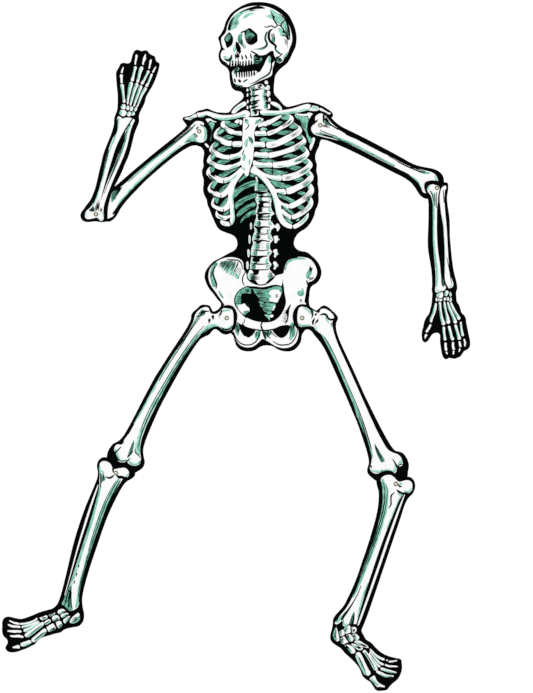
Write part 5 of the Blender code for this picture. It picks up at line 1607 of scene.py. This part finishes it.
def left_ribs_greens(ink):
    ink["wash"] += [
        stroke("54,141,1.4 50,136,3.5 45,131,1.6", 0.9, 50),
        stroke("82,95,1.4 75,89,4 66,83,3 60,81,1.2", 0.8, 35),
        wash("82,68,2 75,63,5 66,60,4.6 60,57,2", 0.6, 0.75),
        wash("25,48.6,1.4 33,48.6,2.8 40,49.6,1.4", 0.5),
        wash("90,46,2 82,39,5 75,34,2", 0.8, 0.6),
        wash("92,20,2 85,13,5 78,8,2", 0.8, 0.6),
        stroke("94,-8,1.6 88,-14,4 82,-19,1.6", 0.9, 45),
        wash("92,-28,2 86,-36,4 82,-41,2", 0.5),
        wash("85,-50,2 78,-60,4 70,-67,2", 0.5),
        wash("-18,111.4,1.4 -8,111.4,2.8 2,112,1.6", 0.5),
        wash("-19,89.6,1.4 -10,89.4,2.8 -1,89.4,1.4", 0.45),
        wash("-19,69.4,1.6 -8,67.6,3.4 5,68,2", 0.55),
        wash("-20,51,1.6 -8,48.4,3.4 8,48.8,3 14,49,1.6", 0.5),
        wash("12,25.4,1.4 22,22.8,3 32,22,1.6", 0.5),
        wash("12,-4,1.4 16.4,-14,3 19.6,-25,3.2 22,-36,3 24,-46,2.8 27.4,-55,1.4", 0.6, 0.35),
        wash("-16,32,1.4 -8,25.6,3 0,16,3 7,7,1.6", 0.55, 0.3),
        wash("25,-3.4,1.2 32,-4.8,2.6 40,-4.6,1.4", 0.5),
        wash("34,-29,1.2 40,-31.6,2.6 46,-33.4,1.4", 0.5),
        wash("36,-46,1.2 42,-50.6,2.6 50,-54.4,1.4", 0.5),
    ]


def left_ribs_gaps(ink):
    """The green backs of ribs between the white ones."""
    ink["teal"] += [
        area("33,145 38,148.5 45,151 50,148 49,144 44,141 38,142", 0.65, 30),
        area("15,132 22,136 30,138.5 37,137 32,133 24,129.5 18,129.5", 0.8, 15),
        area("-9,122 -4,126 2,125 6,122 0,119.5 -6,119.5", 0.5, 0),
        area("50,127 55,132 62,131 67,127 63,124 57,123.5 51,125.5", 0.65, 20),
        area("24,115 32,118 42,120.5 50,120 55,118.5 50,115 42,111.5 33,112", 0.8, 15),
        area("-10,100 -5,105 2,106 8,103 18,102 25,100 15,98.5 5,98 -5,97.5", 0.65, 0),
        area("64,105 69,109.5 75,109.5 76,106 72,102.5 67,103.5", 0.65, 20),
        area("39,92 46,95.5 54,98 60,96 56,92 50,90 44,90", 0.8, 15),
        area("-10,80 -2,83 5,84 12,81 20,79 10,78 0,77.5", 0.76, 0),
        area("72,83 76,87 81,85 82,80 78,77 74,80", 0.65, 20),
        area("36,68 44,72 52,73.5 60,71 66,69.5 58,66 50,65 42,66.5", 0.8, 10),
        area("-15,60 -5,62 0,64 10,63 20,60 24,58.5 12,57 0,56.5", 0.76, 0),
        area("74,58 80,62 85,62 87,57 83,53 78,56", 0.65, 20),
        area("43,46 50,49 58,51 66,49 74,46.5 68,42 60,40 52,43", 0.8, 10),
        area("-2,43 15,43 30,40 47,36.5 38,33 30,31.5 20,31.5 10,33 2,37", 0.76, 0),
        area("82,33 86,37 90,35 91,30 88,28 84,31", 0.65, 20),
        area("59,22 66,25 72,27 80,22 74,18 68,17 63,19", 0.8, 10),
        area("11,21 20,19 33,16 45,12 54,9 47,5 38,4.5 28,7 21,8.5 16,14", 0.76, -15),
        area("86,10 90,11 91,6 88,3", 0.6, 60),
        area("66,-5 73,-1.5 80,-3 82,-6 77,-10 71,-8", 0.76, 10),
        area("27,-7 35,-9 45,-12 53,-16 60,-20 52,-24 45,-20 37,-17 30,-14", 0.76, -25),
        area("87,-19 90,-20 89,-25 86,-23", 0.6, 60),
        area("66,-32 71,-29 76,-30 80,-34 75,-38 70,-37", 0.76, 10),
        area("36,-33 44,-35 50,-38 59,-45 54,-48 47,-43 40,-38", 0.76, -25),
        area("63,-60 68,-56 70,-58 66,-61", 0.45, 40),
        area("40,-54 46,-56 52,-60 56,-65 52,-67 46,-62", 0.76, -30),
    ]


def left_ribs_lines(ink):
    ink["line"] += [
        line("16,43,1 15.6,38,1.2 16,33,1"),
        *hatch("8,113.6 26,119 27,121 8,116", 2, 0.1),
        *hatch("12,88.6 30,93 30,95.6 12,91", 2, 0.1),
        *hatch("41,22.6 60,25.4 58,29 41,26.4", 3, 0.3),
        *hatch("36,126.6 52,135 54,140 34,129.6", 3, 0.3),
        *hatch("54,106.4 72,117 71,121 52,109.4", 3, 0.3),
        *hatch("60,82.4 80,95 79,99 58,85.4", 3, 0.3),
        *hatch("62,56 84,69 84,74 60,59", 3, 0.3),
        *hatch("70,31 90,45 90,50 68,34", 3, 0.3),
        *hatch("76,8 94,22 93,27 74,11", 3, 0.3),
        *hatch("76,-20.6 94,-6 93,-1 74,-17", 3, 0.3),
        *hatch("72,-47 92,-30 90,-26 70,-44", 3, 0.3),
    ]


def ribs_behind(ink):
    """The green backs of the ribs, seen on black between the breast bone and the arches."""
    ink["teal"] += [
        area("-52,17 -47,24 -41,30 -37,30 -36,26 -42,23 -47,19", 0.76, 30),
        area("-30,33 -24,33 -19,31 -20,28 -27,28", 0.76, 0),
        area("-60,1 -52,7 -42,13 -32,17 -22,20 -16,19 -16,11 -25,8.5 -35,5 -45,-1 -54,-9 "
             "-61,-15", 0.76, 25),
        area("-59,-27 -52,-20 -42,-14 -32,-9 -22,-6 -17,-6 -19,-14 -28,-17 -38,-22 -47,-29 "
             "-57,-37", 0.76, 28),
        area("-55,-47 -48,-38 -38,-31 -28,-26 -20,-23 -18,-31 -26,-34 -36,-40 -45,-47 "
             "-54,-54", 0.76, 32),
        area("-47,-60 -42,-52 -34,-45 -25,-40 -17,-38 -16,-46 -24,-49 -33,-53 -41,-58 "
             "-48,-65", 0.76, 36),
    ]
    ink["line"] += [
        line("-56,2,0.3 -40,10,0.6 -22,16,0.3"),
        line("-54,-12,0.3 -38,-4.6,0.6 -20,7,0.3"),
        line("-54,-26,0.3 -40,-18,0.6 -22,-11,0.3"),
        line("-50,-47,0.3 -36,-37.6,0.6 -22,-31,0.3"),
        line("-42,-57,0.3 -32,-50.6,0.6 -20,-45,0.3"),
    ]


# ---------------------------------------------------------------- drawings of the spine and the pelvis

def vertebra(ink, left, right, top, low, dark):
    """The shading of one bone of the spine: green at both sides, and dark brush lines.

    Short lines and longer, thinner ones reach in from the left, as far as dark says. A few more reach in
    from the right."""
    middle = (top + low) / 2
    tall = top - low
    ink["wash"] += [
        wash(f"{left + 4},{top},10 {left + 5},{middle},12 {left + 4},{low},10", 0.35, 0.95),
        wash(f"{right - 2.4},{top},6 {right - 3},{middle},8 {right - 2.4},{low},6", 0.62, 0.3),
    ]
    reach = left + 5 + 0.75 * dark
    ink["line"] += hatch(
        f"{left + 3},{top - 0.4} {reach},{top - 0.8} {reach},{low + 0.8} {left + 3},{low + 0.4}",
        max(3, round(tall / 3.0)), 0.75)
    reach = left + 7 + 1.25 * dark
    ink["line"] += hatch(
        f"{left + 6},{top - 1.4} {reach},{top - 1.8} {reach},{low + 1.2} {left + 6},{low + 0.8}",
        max(2, round(tall / 3.4)), 0.1)
    reach = right - 5
    start = right - 0.4
    ink["line"] += hatch(
        f"{start},{top - 1} {reach},{top - 1.4} {reach},{low + 1.4} {start},{low + 1}",
        max(2, round(tall / 3.6)), 0.4)


def spine_bones(ink):
    """The column, then the tips of bone that stand clear of it."""
    ink["bone"] += [
        area("-15,27 -13,20 -7,13 1,4 6,-1 9,-6 12,-14 14,-21 12,-28 13,-36 14,-42 20,-46.5 14,-50 "
             "11,-56 13,-62 17,-67 22,-72 17,-76 12,-81 11,-88 14,-94 18,-98.5 13,-103 10,-109 10,-116 "
             "13,-121 16,-124 10,-129 8,-135 9,-141 13,-146 15,-149 9,-153 9,-158 14,-163 20,-168.5 "
             "20,-173 12,-181 3,-187 -7,-189 -18,-187 -28,-182 -34,-174 -33,-166 -28,-159 -29,-150 "
             "-27,-143 -25,-135 -27,-129 -27,-121 -24,-114 -22,-107 -24,-100 -24,-94 -21,-87 -19,-80 "
             "-21,-73 -20,-66 -18,-60 -16,-52 -18,-45 -17,-38 -14,-31 -16,-22 -18,-16 -15,-8 -19,0 "
             "-19,8 -15,15 -17,22 -18,27"),
        area("-28.6,-66 -26,-65 -25,-71 -26,-77 -28.4,-76"),
        area("-31.6,-91 -28.6,-90 -27.6,-98 -29,-106 -31.4,-104"),
        area("-34,-119 -30.6,-118.6 -29.6,-126 -31,-133 -33.6,-131"),
        area("-36,-143 -32.6,-143 -31.6,-150 -33,-157 -36,-155"),
        area("22,-70 25,-66 28,-67 31,-73 28,-80 25,-81 24,-76 21,-74"),
        area("18,-93 21,-91 26,-90.6 27,-95 30,-98 26,-101 24,-105 20,-104 20,-98"),
        area("17,-121 21,-117.6 25,-118 26,-124 28,-127 24,-130 22,-134 19,-132 20,-126"),
        area("17,-146 19,-142 23,-143 26,-147 28,-150 24,-154 21,-158 18,-156 20,-151"),
    ]


def spine_greens(ink):
    ink["wash"] += [
        area("-15,16 -9,18 -4,13 0,8 4,4 7,0 -2,-1 -15,-1 -18,8", 0.78, 90),
        area("-18,14 -15,16 -14,8 -15,1 -18,4", 0.42, 80),
    ]


def vertebrae(ink):
    """The bones of the spine from the top down, as (left, right, top, low, dark)."""
    bones = (
        (-13, 11, -5, -11, 10),
        (-14, 13, -14, -21, 9),
        (-12, 13, -26, -31, 10),
        (-15, 14, -34, -43, 9),
        (-14, 12, -49, -58, 11),
        (-18, 15, -62, -70, 5),
        (-18, 12, -77, -85, 11),
        (-21, 13, -88, -98, 11),
        (-21, 10, -105, -118, 12),
        (-25, 12, -122, -129, 4),
        (-25, 8, -137, -146, 13),
        (-28, 10, -149, -156, 4),
        (-31, 14, -166, -180, 12),
    )
    for bone in bones:
        vertebra(ink, *bone)


def spine_lines(ink):
    ink["line"] += [
        area("-15,28 -13,20 -12,13 -8,12 -2,13 3,8 8,1 11,-6 14,-13 16,-22 14,-30 15,-40 20,-46 23,-44 "
             "20,-30 17,-18 13,-5 8,4 -1,16 -9,24 -16,31"),
        *hatch("-13,16 -7,16 -5,0 -14,0", 6, 0.6),
        *hatch("-8,14 1,9 8,0 -6,0", 5, 0.1),
        area("-11,-26 -4,-26.4 -2,-30 -5,-32.6 -12,-32"),
        area("-12,-35 -8,-34.6 -5,-38 -8,-43 -14,-44"),
        area("-13,-49 -8,-49 -5,-52 -9,-57 -13,-58"),
        area("-14,-78 -10,-77 -8,-81 -10,-84 -14,-83"),
        area("-15,-91 -10,-90 -8,-93 -11,-96 -16,-95"),
        area("-24,-136 -14,-136 -9,-139 -12,-143 -22,-142"),
        *hatch("7,-80 2,-80.6 2,-86 7,-86", 3, 0.6),
        line("10,-129,0.6 14,-123.6,1.6 16,-122,0.6"),
        line("11,-151,0.6 15,-147,1.4 17,-145.6,0.6"),
        line("14,-98,1 17,-101,1.2"),
        line("-17,-2,2 -10,-5,5 0,-4,2.6 8,-2.6,1"),
        line("-12,-12,1.4 0,-12.6,1.7 12,-12,0.9"),
        line("-11,-22,1.6 -6,-24,3.6 3,-23,2.6 10,-24,0.9"),
        line("-11,-32.6,1.8 0,-33,1.3 12,-33,0.7"),
        line("-15,-45.4,1.8 -9,-47.6,3.2 2,-46.4,2.2 12,-46.4,1"),
        line("-11,-52,1 0,-53,1.4 10,-52,0.7"),
        line("-12,-58.6,1.2 0,-58.8,1.3 10,-59,0.7"),
        line("-18,-72,2.4 -12,-75,5.2 -2,-73,2.2 10,-73.4,1.2"),
        line("-16,-86,1 -4,-87.4,1.3 8,-86.4,0.7"),
        line("-21,-99.6,1.8 -12,-102.4,4.8 -4,-100,1.8 10,-102,1.2"),
        line("-22,-119,1 -8,-120.4,1.3 8,-119,0.7"),
        line("-25,-131,1.8 -14,-134.4,6 -4,-132,2.6 6,-131,1"),
        line("-26,-146.8,1 -8,-147.6,1.3 8,-146.6,0.7"),
        line("-28,-157.6,1.2 -18,-159,2.2 -10,-158.6,1.4 -2,-158.6,1.2 8,-158,0.8"),
        area("-25,-159 -12,-159 -11,-163 -14,-168 -24,-168 -22,-164"),
        area("-30,-179 -24,-178.6 -18,-180 -15,-184 -17,-187.4 -24,-184.6 -28,-182"),
        *hatch("-27,-170 -8,-169 -6,-178 -28,-178", 5, 0.8),
        *hatch("17,-166 6,-160 3,-171 18,-174", 6, 0.5),
        line("-26,-182,1 -20,-184.6,3.6 -14,-186.6,1.4"),
        line("4,-184.6,1 10,-180,3 17,-173.6,1.2"),
        line("-34,-165,0.6 -34.4,-174,1.2 -28,-182,1.4 -18,-187,1.4 -7,-189,1.4 3,-187,1.4 12,-181,1.4 "
             "19,-174,1.2 21,-169,0.6"),
    ]


def spine_edges(ink):
    """White and green along the edges of the column."""
    ink["chalk"] += [
        stroke("13,-20,0.8 11.4,-28,1.4 13,-38,1.4 18,-46,1.2 12,-52,1.3 11.6,-60,1.3 19,-71,1.4 "
               "12,-78,1.4 11,-88,1.4 16.4,-98,1.4 10.4,-106,1.4 10,-116,1.4 14,-123.6,1.4 8.6,-131,1.4 "
               "8.6,-141,1.4 13,-149,1.4 8.6,-156,1.4 18,-168,1"),
        area("-5,-15 3,-14.6 9,-16 8,-20 0,-20.6 -4,-19"),
        area("-2,-26.4 5,-26 10,-27.6 8,-31 0,-31.4"),
    ]
    ink["wash"] += [
        wash("-17.4,26,1.6 -15,19,2.2 -17.6,10,2.2 -17.6,0,2.2 -14,-8,2.2 -16.6,-19,2.2 -13.4,-29,2.2 "
             "-16.2,-40,2.2 -15,-52,2.2 -18,-62,2.2 -20,-71,2.2 -18.4,-81,2.2 -22.4,-93,2.2 "
             "-21.4,-105,2.2 -25.4,-118,2.2 -25,-130,2.2 -26.6,-143,2.2 -27.6,-155,2.2 "
             "-32,-166,1.4", 0.1, 0.5),
        wash("27.6,-69,1.2 28.6,-73,2 26.6,-78,1.2", 0.4),
        wash("26,-93,1.2 27.4,-98,2 24,-102.6,1.2", 0.4),
        wash("24.4,-120,1.2 25.6,-126,2 22,-131,1.2", 0.4),
        wash("24,-146,1.2 25.4,-150,2 22,-155,1.2", 0.4),
        wash("-27.4,-68,1 -26.8,-72,1.6 -27.4,-75.6,1", 0.5),
        wash("-30.4,-92,1 -29.4,-98,1.8 -30.4,-104,1", 0.5),
        wash("-32.6,-120,1 -31.6,-126,1.8 -32.4,-131,1", 0.5),
        wash("-34.6,-144,1 -33.4,-150,1.8 -34.6,-155,1", 0.5),
    ]


def pelvis_bone(ink):
    ink["bone"] += [
        area("-70,-133.5 -60,-134 -50,-137 -44,-142 -42,-150 -42,-157 -38,-164 -33,-172 -28,-180 "
             "-18,-185 -7,-187 3,-185 12,-179 19,-172 30,-168 38,-165 40,-150 45,-142 55,-136 68,-133 "
             "82,-134 92,-138 99,-146 104,-156 105,-165 102,-174 95,-181 88,-184 84,-197 82,-210 "
             "80,-222 83,-228 80,-250 74,-270 68,-280 68,-288 65,-300 58,-309 48,-314 35,-315 22,-311 "
             "12,-305 2,-299 -5,-297 -9,-301 -18,-309 -28,-313.5 -40,-313 -50,-308 -57,-298 -60,-285 "
             "-70,-275 -80,-250 -82,-232 -80,-229 -86,-220 -93,-210 -100,-200 -107,-190 -111,-180 "
             "-112,-168 -109,-157 -102,-148 -92,-140 -80,-135"),
    ]


def pelvis_greens(ink):
    ink["wash"] += [
        area("-98,-144 -105,-153 -109,-165 -108,-178 -104,-191 -98,-193 -97,-186 -100,-176 -102,-167 "
             "-99,-156 -93,-147", 0.75, 80),
        area("-86,-143 -74,-140 -64,-142 -58,-148 -60,-156 -66,-163 -74,-166 -80,-160 "
             "-88,-152", 0.56, 45),
        area("-70,-160 -60,-157 -57,-163 -62,-170 -69,-168", 0.5, 45),
        area("-58,-167 -52,-169 -51,-176 -56,-177 -59,-172", 0.6, 40),
        wash("-92,-200,1.6 -87,-209,4 -82,-216,1.6", 0.6, 0.75),
        wash("42,-158,1.6 45,-147,4 52,-140,4 62,-137,4 75,-136,4 83,-138,1.6", 0.6, 0.75),
        area("91,-153 95,-160 94,-167 90,-172 84,-176 83,-168 87,-160", 0.7, 70),
        area("76,-195 79,-203 78,-210 70,-211 65,-206 68,-200 73,-201", 0.7, 40),
        area("-38,-193 -50,-199 -58,-210 -60,-222 -57,-232 -50,-243 -43,-247 -42,-240 -46,-232 -46,-224 "
             "-45,-217 -40,-211 -30,-212 -18,-214 -20,-198 -28,-192", 0.72, 70),
        area("-20,-287 -14,-281 -8,-279 -8,-287 -12,-294 -17,-298", 0.7, 70),
        area("-2,-280 5,-280 14,-281 14,-287 5,-294 0,-297", 0.7, 70),
        area("-58,-270 -54,-266 -49,-273 -51,-283 -53,-290 -58,-284", 0.7, 80),
        area("50,-272 56,-263 61,-275 62,-286 55,-297 50,-299 50,-287", 0.7, 80),
    ]


def pelvis_lines(ink):
    ink["line"] += [
        area("-45,-208 -35,-205 -28,-206 -25,-198 -22,-194 -10,-195 5,-194 20,-191 32,-192 36,-184 "
             "36,-176 38,-188 39,-195 40,-205 43,-222 40,-235 35,-245 30,-252 20,-260 5,-264 -15,-262 "
             "-30,-257 -40,-250 -46,-238 -47,-222"),
        line("-99,-152,0.8 -103,-165,2 -100,-176,2 -96,-187,1.8 -97,-196,0.8"),
        line("-75,-138,0.6 -63,-138.6,1.3 -52,-140,1.4 -46,-147,1.3 -44,-157,0.6"),
        line("84,-180,0.8 86,-185,2.4 88,-192,1.2"),
        line("-35,-191,1 -30,-193,2.4 -20,-193.6,2.6 -8,-195,2.6 0,-194.6,2.4 10,-192,1.8 18,-190,1.6 "
             "28,-190.6,1.8 35,-194,2"),
        line("-36,-192,0.6 -48,-198,1 -56,-207,1 -60,-218,1 -58,-230,1.2 -50,-240,1.4 -43,-248,1.8 "
             "-36,-255,1"),
        line("-28,-194,1 -25,-202,2 -19,-213,2"),
        area("-47,-209 -40,-205.4 -32,-206 -27,-209 -22,-212 -26,-222 -40,-222"),
        line("-41,-257,0.5 -40,-262,0.7 -44,-267,0.7 -40,-270,0.5"),
        line("-55,-264,0.8 -45,-270,1.6 -30,-276,1.8 -15,-278.6,1.6 -5,-279.6,1.6 5,-279.6,1.6 "
             "20,-277,1.6 32,-272,1.6 46,-269.4,0.8"),
        line("41,-159,0.6 40.6,-150,1 45,-141,1 53,-136,1 66,-134,0.6"),
        line("-38,-163,0.6 -43,-172,1.3 -44,-182,1.3 -40,-190,0.6"),
        line("-5,-264,1.8 -7,-270,1.8 -4,-279,2.4 -1,-289,2.6 2,-297,2"),
        area("-50,-267 -43,-269 -33,-274 -22,-277 -18,-279 -20,-284 -25,-290 -32,-294 -39,-291 -44,-284 "
             "-49,-275"),
        area("18,-278 28,-274 40,-270 50,-270 50,-278 46,-287 40,-293 33,-295 25,-290 20,-284"),
        line("-59,-290,0.5 -54,-300,1.2 -45,-307,1.4 -35,-309,1.4 -24,-307,1.4 -14,-298,1.4 "
             "-9,-283,0.6"),
        line("17,-302,0.6 28,-308,1.4 38,-309,1.5 50,-307,1.4 58,-300,1.3 64,-288,1.1 66,-275,0.5"),
        area("53,-227 49,-231 44,-239 42,-245 45,-249 44.4,-258 40,-267 46,-262 48.6,-250 49.4,-240 "
             "52,-231"),
        line("-51,-266,0.8 -49,-274,1.4 -45,-283,1.4 -40,-291,0.8"),
        line("-47.6,-268,0.8 -45,-276,1.2 -41,-284,1 -37,-290,0.5"),
        line("16,-279,0.8 20,-284,1.4 26,-290,1.2 31,-294,0.5"),
        line("12,-279.6,0.8 15,-285,1 20,-290,0.8 25,-293,0.4"),
    ]


def pelvis_shading(ink):
    ink["line"] += [
        *hatch("46,-241 35,-240 33,-260 44,-263", 8, 0.6),
        line("0,-280,0.6 4,-287,1.2 9,-293,1 12,-296,0.4"),
        line("5,-280,0.6 8,-285,1 13,-288,0.4"),
        *hatch("-17,-281 -15,-296 -10,-296 -9,-281", 3, 0.9),
        *hatch("0,-281 4,-296 10,-294 12,-281", 5, 0.9),
        *hatch("52,-268 53,-296 58,-290 60,-268", 4, 0.9),
        *hatch("-60,-268 -57,-288 -53,-284 -54,-267", 3, 0.7),
        *hatch("-46,-213 -58,-212 -59,-226 -46,-226", 5, 0.9),
        *hatch("-30,-198 -45,-200 -44,-204 -28,-202", 3, 0.9),
        *hatch("-84,-141 -96,-154 -80,-166 -62,-138", 10, 0.5),
        *hatch("-64,-139 -84,-164 -66,-176 -52,-143", 8, 0.5),
        *hatch("-90,-146 -70,-141 -64,-146 -86,-153", 4, 0.4),
        *hatch("-52,-148 -66,-168 -56,-180 -46,-160", 5, 0.4),
        *hatch("90,-172 84,-180 90,-182 99,-174", 4, 0.8),
        *hatch("92,-150 88,-164 91,-168 96,-156", 4, 0.8),
        *hatch("72,-217 72,-226 74,-226 74,-217", 2, 0.8),
        *hatch("-52,-272 -56,-288 -54,-292 -50,-278", 3, 0.7),
    ]


def pelvis_opening(ink):
    """White and green over the black of the opening."""
    ink["chalk"] += [
        area("-53,-230 -46,-228 -40,-226 -36,-231 -31,-235 -30,-241 -36,-243 -41,-248 -47,-243 "
             "-52,-237"),
        area("9,-199 20,-196 32,-196 34,-204 31,-213 28,-219 25,-224 18,-223 9,-221 9,-216 13,-212 "
             "8,-207"),
        area("16,-231 22,-230 20,-236 17,-240 13,-236"),
        area("10,-250 16,-248 18,-252 13,-254"),
    ]
    ink["glow"] += [
        area("-22,-196 -10,-198 2,-198 12,-195 20,-192 30,-192 34,-195 33,-198 20,-198 12,-200 10,-203 "
             "9,-207 14,-212 9,-216 10,-221 4,-222 -4,-221 -9,-218 -13,-212 -16,-209 -20,-204", 0.75, 0),
        area("-9,-229 -4,-223 0,-226 6,-224 14,-225 20,-226 22,-229 17,-232 18,-236 14,-239 14,-245 "
             "10,-247 4,-244 -1,-241 -4,-235", 0.72, 0),
        area("0,-249 4,-247 9,-249 11,-254 10,-261 8,-257 3,-252", 0.6, 0),
        area("-12,-222 -6,-221 -2,-225 -8,-226", 0.8, 0),
        area("-42,-242 -33,-240 -32,-243 -40,-250", 0.9, 40),
        area("29,-197 34,-197 35,-204 31,-203", 0.8, 60),
        *hatch("-19,-199.5 6,-200 8,-219 -10,-219", 8, 1.0, 1.3),
        *hatch("-8,-228 12,-226 12,-243 0,-243", 7, 1.0, 1.3),
        *hatch("22,-209 29,-208 29,-213 22,-213", 3, 1.0, 1.3),
    ]


# ---------------------------------------------------------------- the cards' drawings

# Every card's drawing, as the steps that add its marks. Later marks of an ink lie over earlier ones.
DRAWINGS = {
    "torso": (
        skull_bones, skull_greens, skull_lines, face_lines, teeth, eye_sockets,
        neck_bones, neck_greens, neck_lines, bones_above_collar,
        collar_bones, ribs_behind,
        spine_bones, spine_greens, vertebrae, spine_lines, spine_edges,
        breast_bone,
        right_ribs, right_ribs_greens, right_ribs_lines,
        left_ribs, left_ribs_greens, left_ribs_gaps, left_ribs_lines,
        pelvis_bone, pelvis_greens, pelvis_lines, pelvis_shading, pelvis_opening,
    ),
    "right_upper_arm": (right_upper_arm,),
    "left_upper_arm": (left_upper_arm,),
    "right_forearm": (right_forearm, right_hand_bones, right_hand_greens),
    "left_forearm": (left_forearm, left_hand_bones, left_hand_greens),
    "right_thigh": (right_thigh_bone, right_thigh_greens, right_thigh_lines),
    "left_thigh": (left_thigh_bone, left_thigh_greens, left_thigh_lines),
    "right_shin": (
        right_shin_bones, right_shin_greens, right_shin_lines,
        right_foot_bones, right_foot_greens, right_foot_lines,
    ),
    "left_shin": (
        left_shin_bones, left_shin_greens, left_shin_lines,
        left_foot_bones, left_foot_greens, left_foot_lines,
    ),
}


def drawing_of(body):
    """A card's marks, ink by ink. wash is the green on the bones, and teal the green between the ribs.

    glow and chalk are the green and the white that lie over the black lines."""
    ink = {"bone": [], "wash": [], "teal": [], "line": [], "glow": [], "chalk": []}
    for step in DRAWINGS[body]:
        step(ink)
    return ink


# ---------------------------------------------------------------- putting the skeleton together

def place_of(card, pivot, side, swing):
    """From a card's drawing, in mm, to its place: on the card's front, swung about the pivot."""
    face = Matrix.Translation((pivot[0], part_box(card)[0].y, pivot[2]))
    hang = Matrix.Rotation(-side * radians(swing), 4, "Y") @ Matrix.Rotation(pi / 2, 4, "X")
    mirror = Matrix.Diagonal((-side, 1, 1, 1))
    return face @ hang @ mirror @ Matrix.Scale(MM, 4)


def print_card(body, place, inks):
    """The films of ink on one card: white, green, the darker green between the ribs, and black."""
    ink = drawing_of(body)
    films = {
        "bone_white": ("bone_white_ink", [(BONE, ink["bone"]), (CHALK, ink["chalk"])]),
        "mint_wash": ("mint_ink", [(WASH, ink["wash"]), (GLOW, ink["glow"])]),
        "teal_ribs": ("teal_ink", [(WASH, ink["teal"])]),
        "black_lines": ("line_ink", [(LINE, ink["line"])]),
    }
    for name, (slot, layers) in films.items():
        film_of(f"{body}_{name}", body, place, layers, inks[slot])


def dress_cards():
    """Black front and bare board on every CAD card, and the printing on its front."""
    card_look = printed_card()
    inks = {
        "bone_white_ink": bone_white_ink(),
        "mint_ink": green_ink("mint_ink", 0.0),
        "teal_ink": green_ink("teal_ink", 0.05),
        "line_ink": black_line_ink(),
    }
    pivots = {joint["name"]: joint["pos_m"] for joint in frame["joints"]}
    for name, node in frame["nodes"].items():
        if name.endswith("_card"):
            node.data.materials.clear()
            node.data.materials.append(card_look)
    # The torso hangs from no joint, so its drawing is neither swung nor mirrored.
    print_card("torso", place_of("torso_card", (0, 0, 0), RIGHT, 0), inks)
    for body, swing in SWING.items():
        which, limb = body.split("_", 1)
        side = RIGHT if which == "right" else LEFT
        pivot = pivots[f"{which}_{UPPER_JOINT[limb]}"]
        print_card(body, place_of(f"{body}_card", pivot, side, swing), inks)


def fit_eyelets():
    """Brass in place of every CAD eyelet, from the back of its stack of cards to the front."""
    brass = eyelet_brass()
    for name, node in list(frame["nodes"].items()):
        if name.endswith("_eyelet"):
            low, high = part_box(name)
            centre = (low + high) / 2
            piece = eyelet(f"{name}_brass", node["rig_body"], centre, high.y / MM, low.y / MM, brass)
            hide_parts(name)


def stage():
    """A pale floor below the feet, even studio light, and the photograph's straight-on view."""
    low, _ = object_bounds()
    bpy.ops.mesh.primitive_plane_add(size=FLOOR_SIZE, location=(0, 0, low[2] - FLOOR_GAP))
    floor = bpy.context.object
    floor.name = "floor"
    pale, _, shader = node_material("floor")
    shader.inputs["Base Color"].default_value = (FLOOR_GREY, FLOOR_GREY, FLOOR_GREY, 1)
    shader.inputs["Roughness"].default_value = 0.9
    floor.data.materials.append(pale)
    floor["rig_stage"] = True
    world = bpy.data.worlds.new("studio")
    bpy.context.scene.world = world
    world.use_nodes = True
    background = world.node_tree.nodes["Background"]
    background.inputs["Color"].default_value = (1, 1, 1, 1)
    background.inputs["Strength"].default_value = STUDIO_LIGHT
    bpy.context.scene.view_settings.view_transform = "Standard"
    camera = bpy.data.objects.new("camera", bpy.data.cameras.new("camera"))
    camera.data.type = "ORTHO"
    camera.data.ortho_scale = VIEW_HEIGHT
    camera.location = (VIEW_CENTRE[0], -VIEW_DISTANCE, VIEW_CENTRE[1])
    camera.rotation_euler = (pi / 2, 0, 0)
    bpy.context.scene.collection.objects.link(camera)
    bpy.context.scene.camera = camera


dress_cards()
fit_eyelets()
stage()
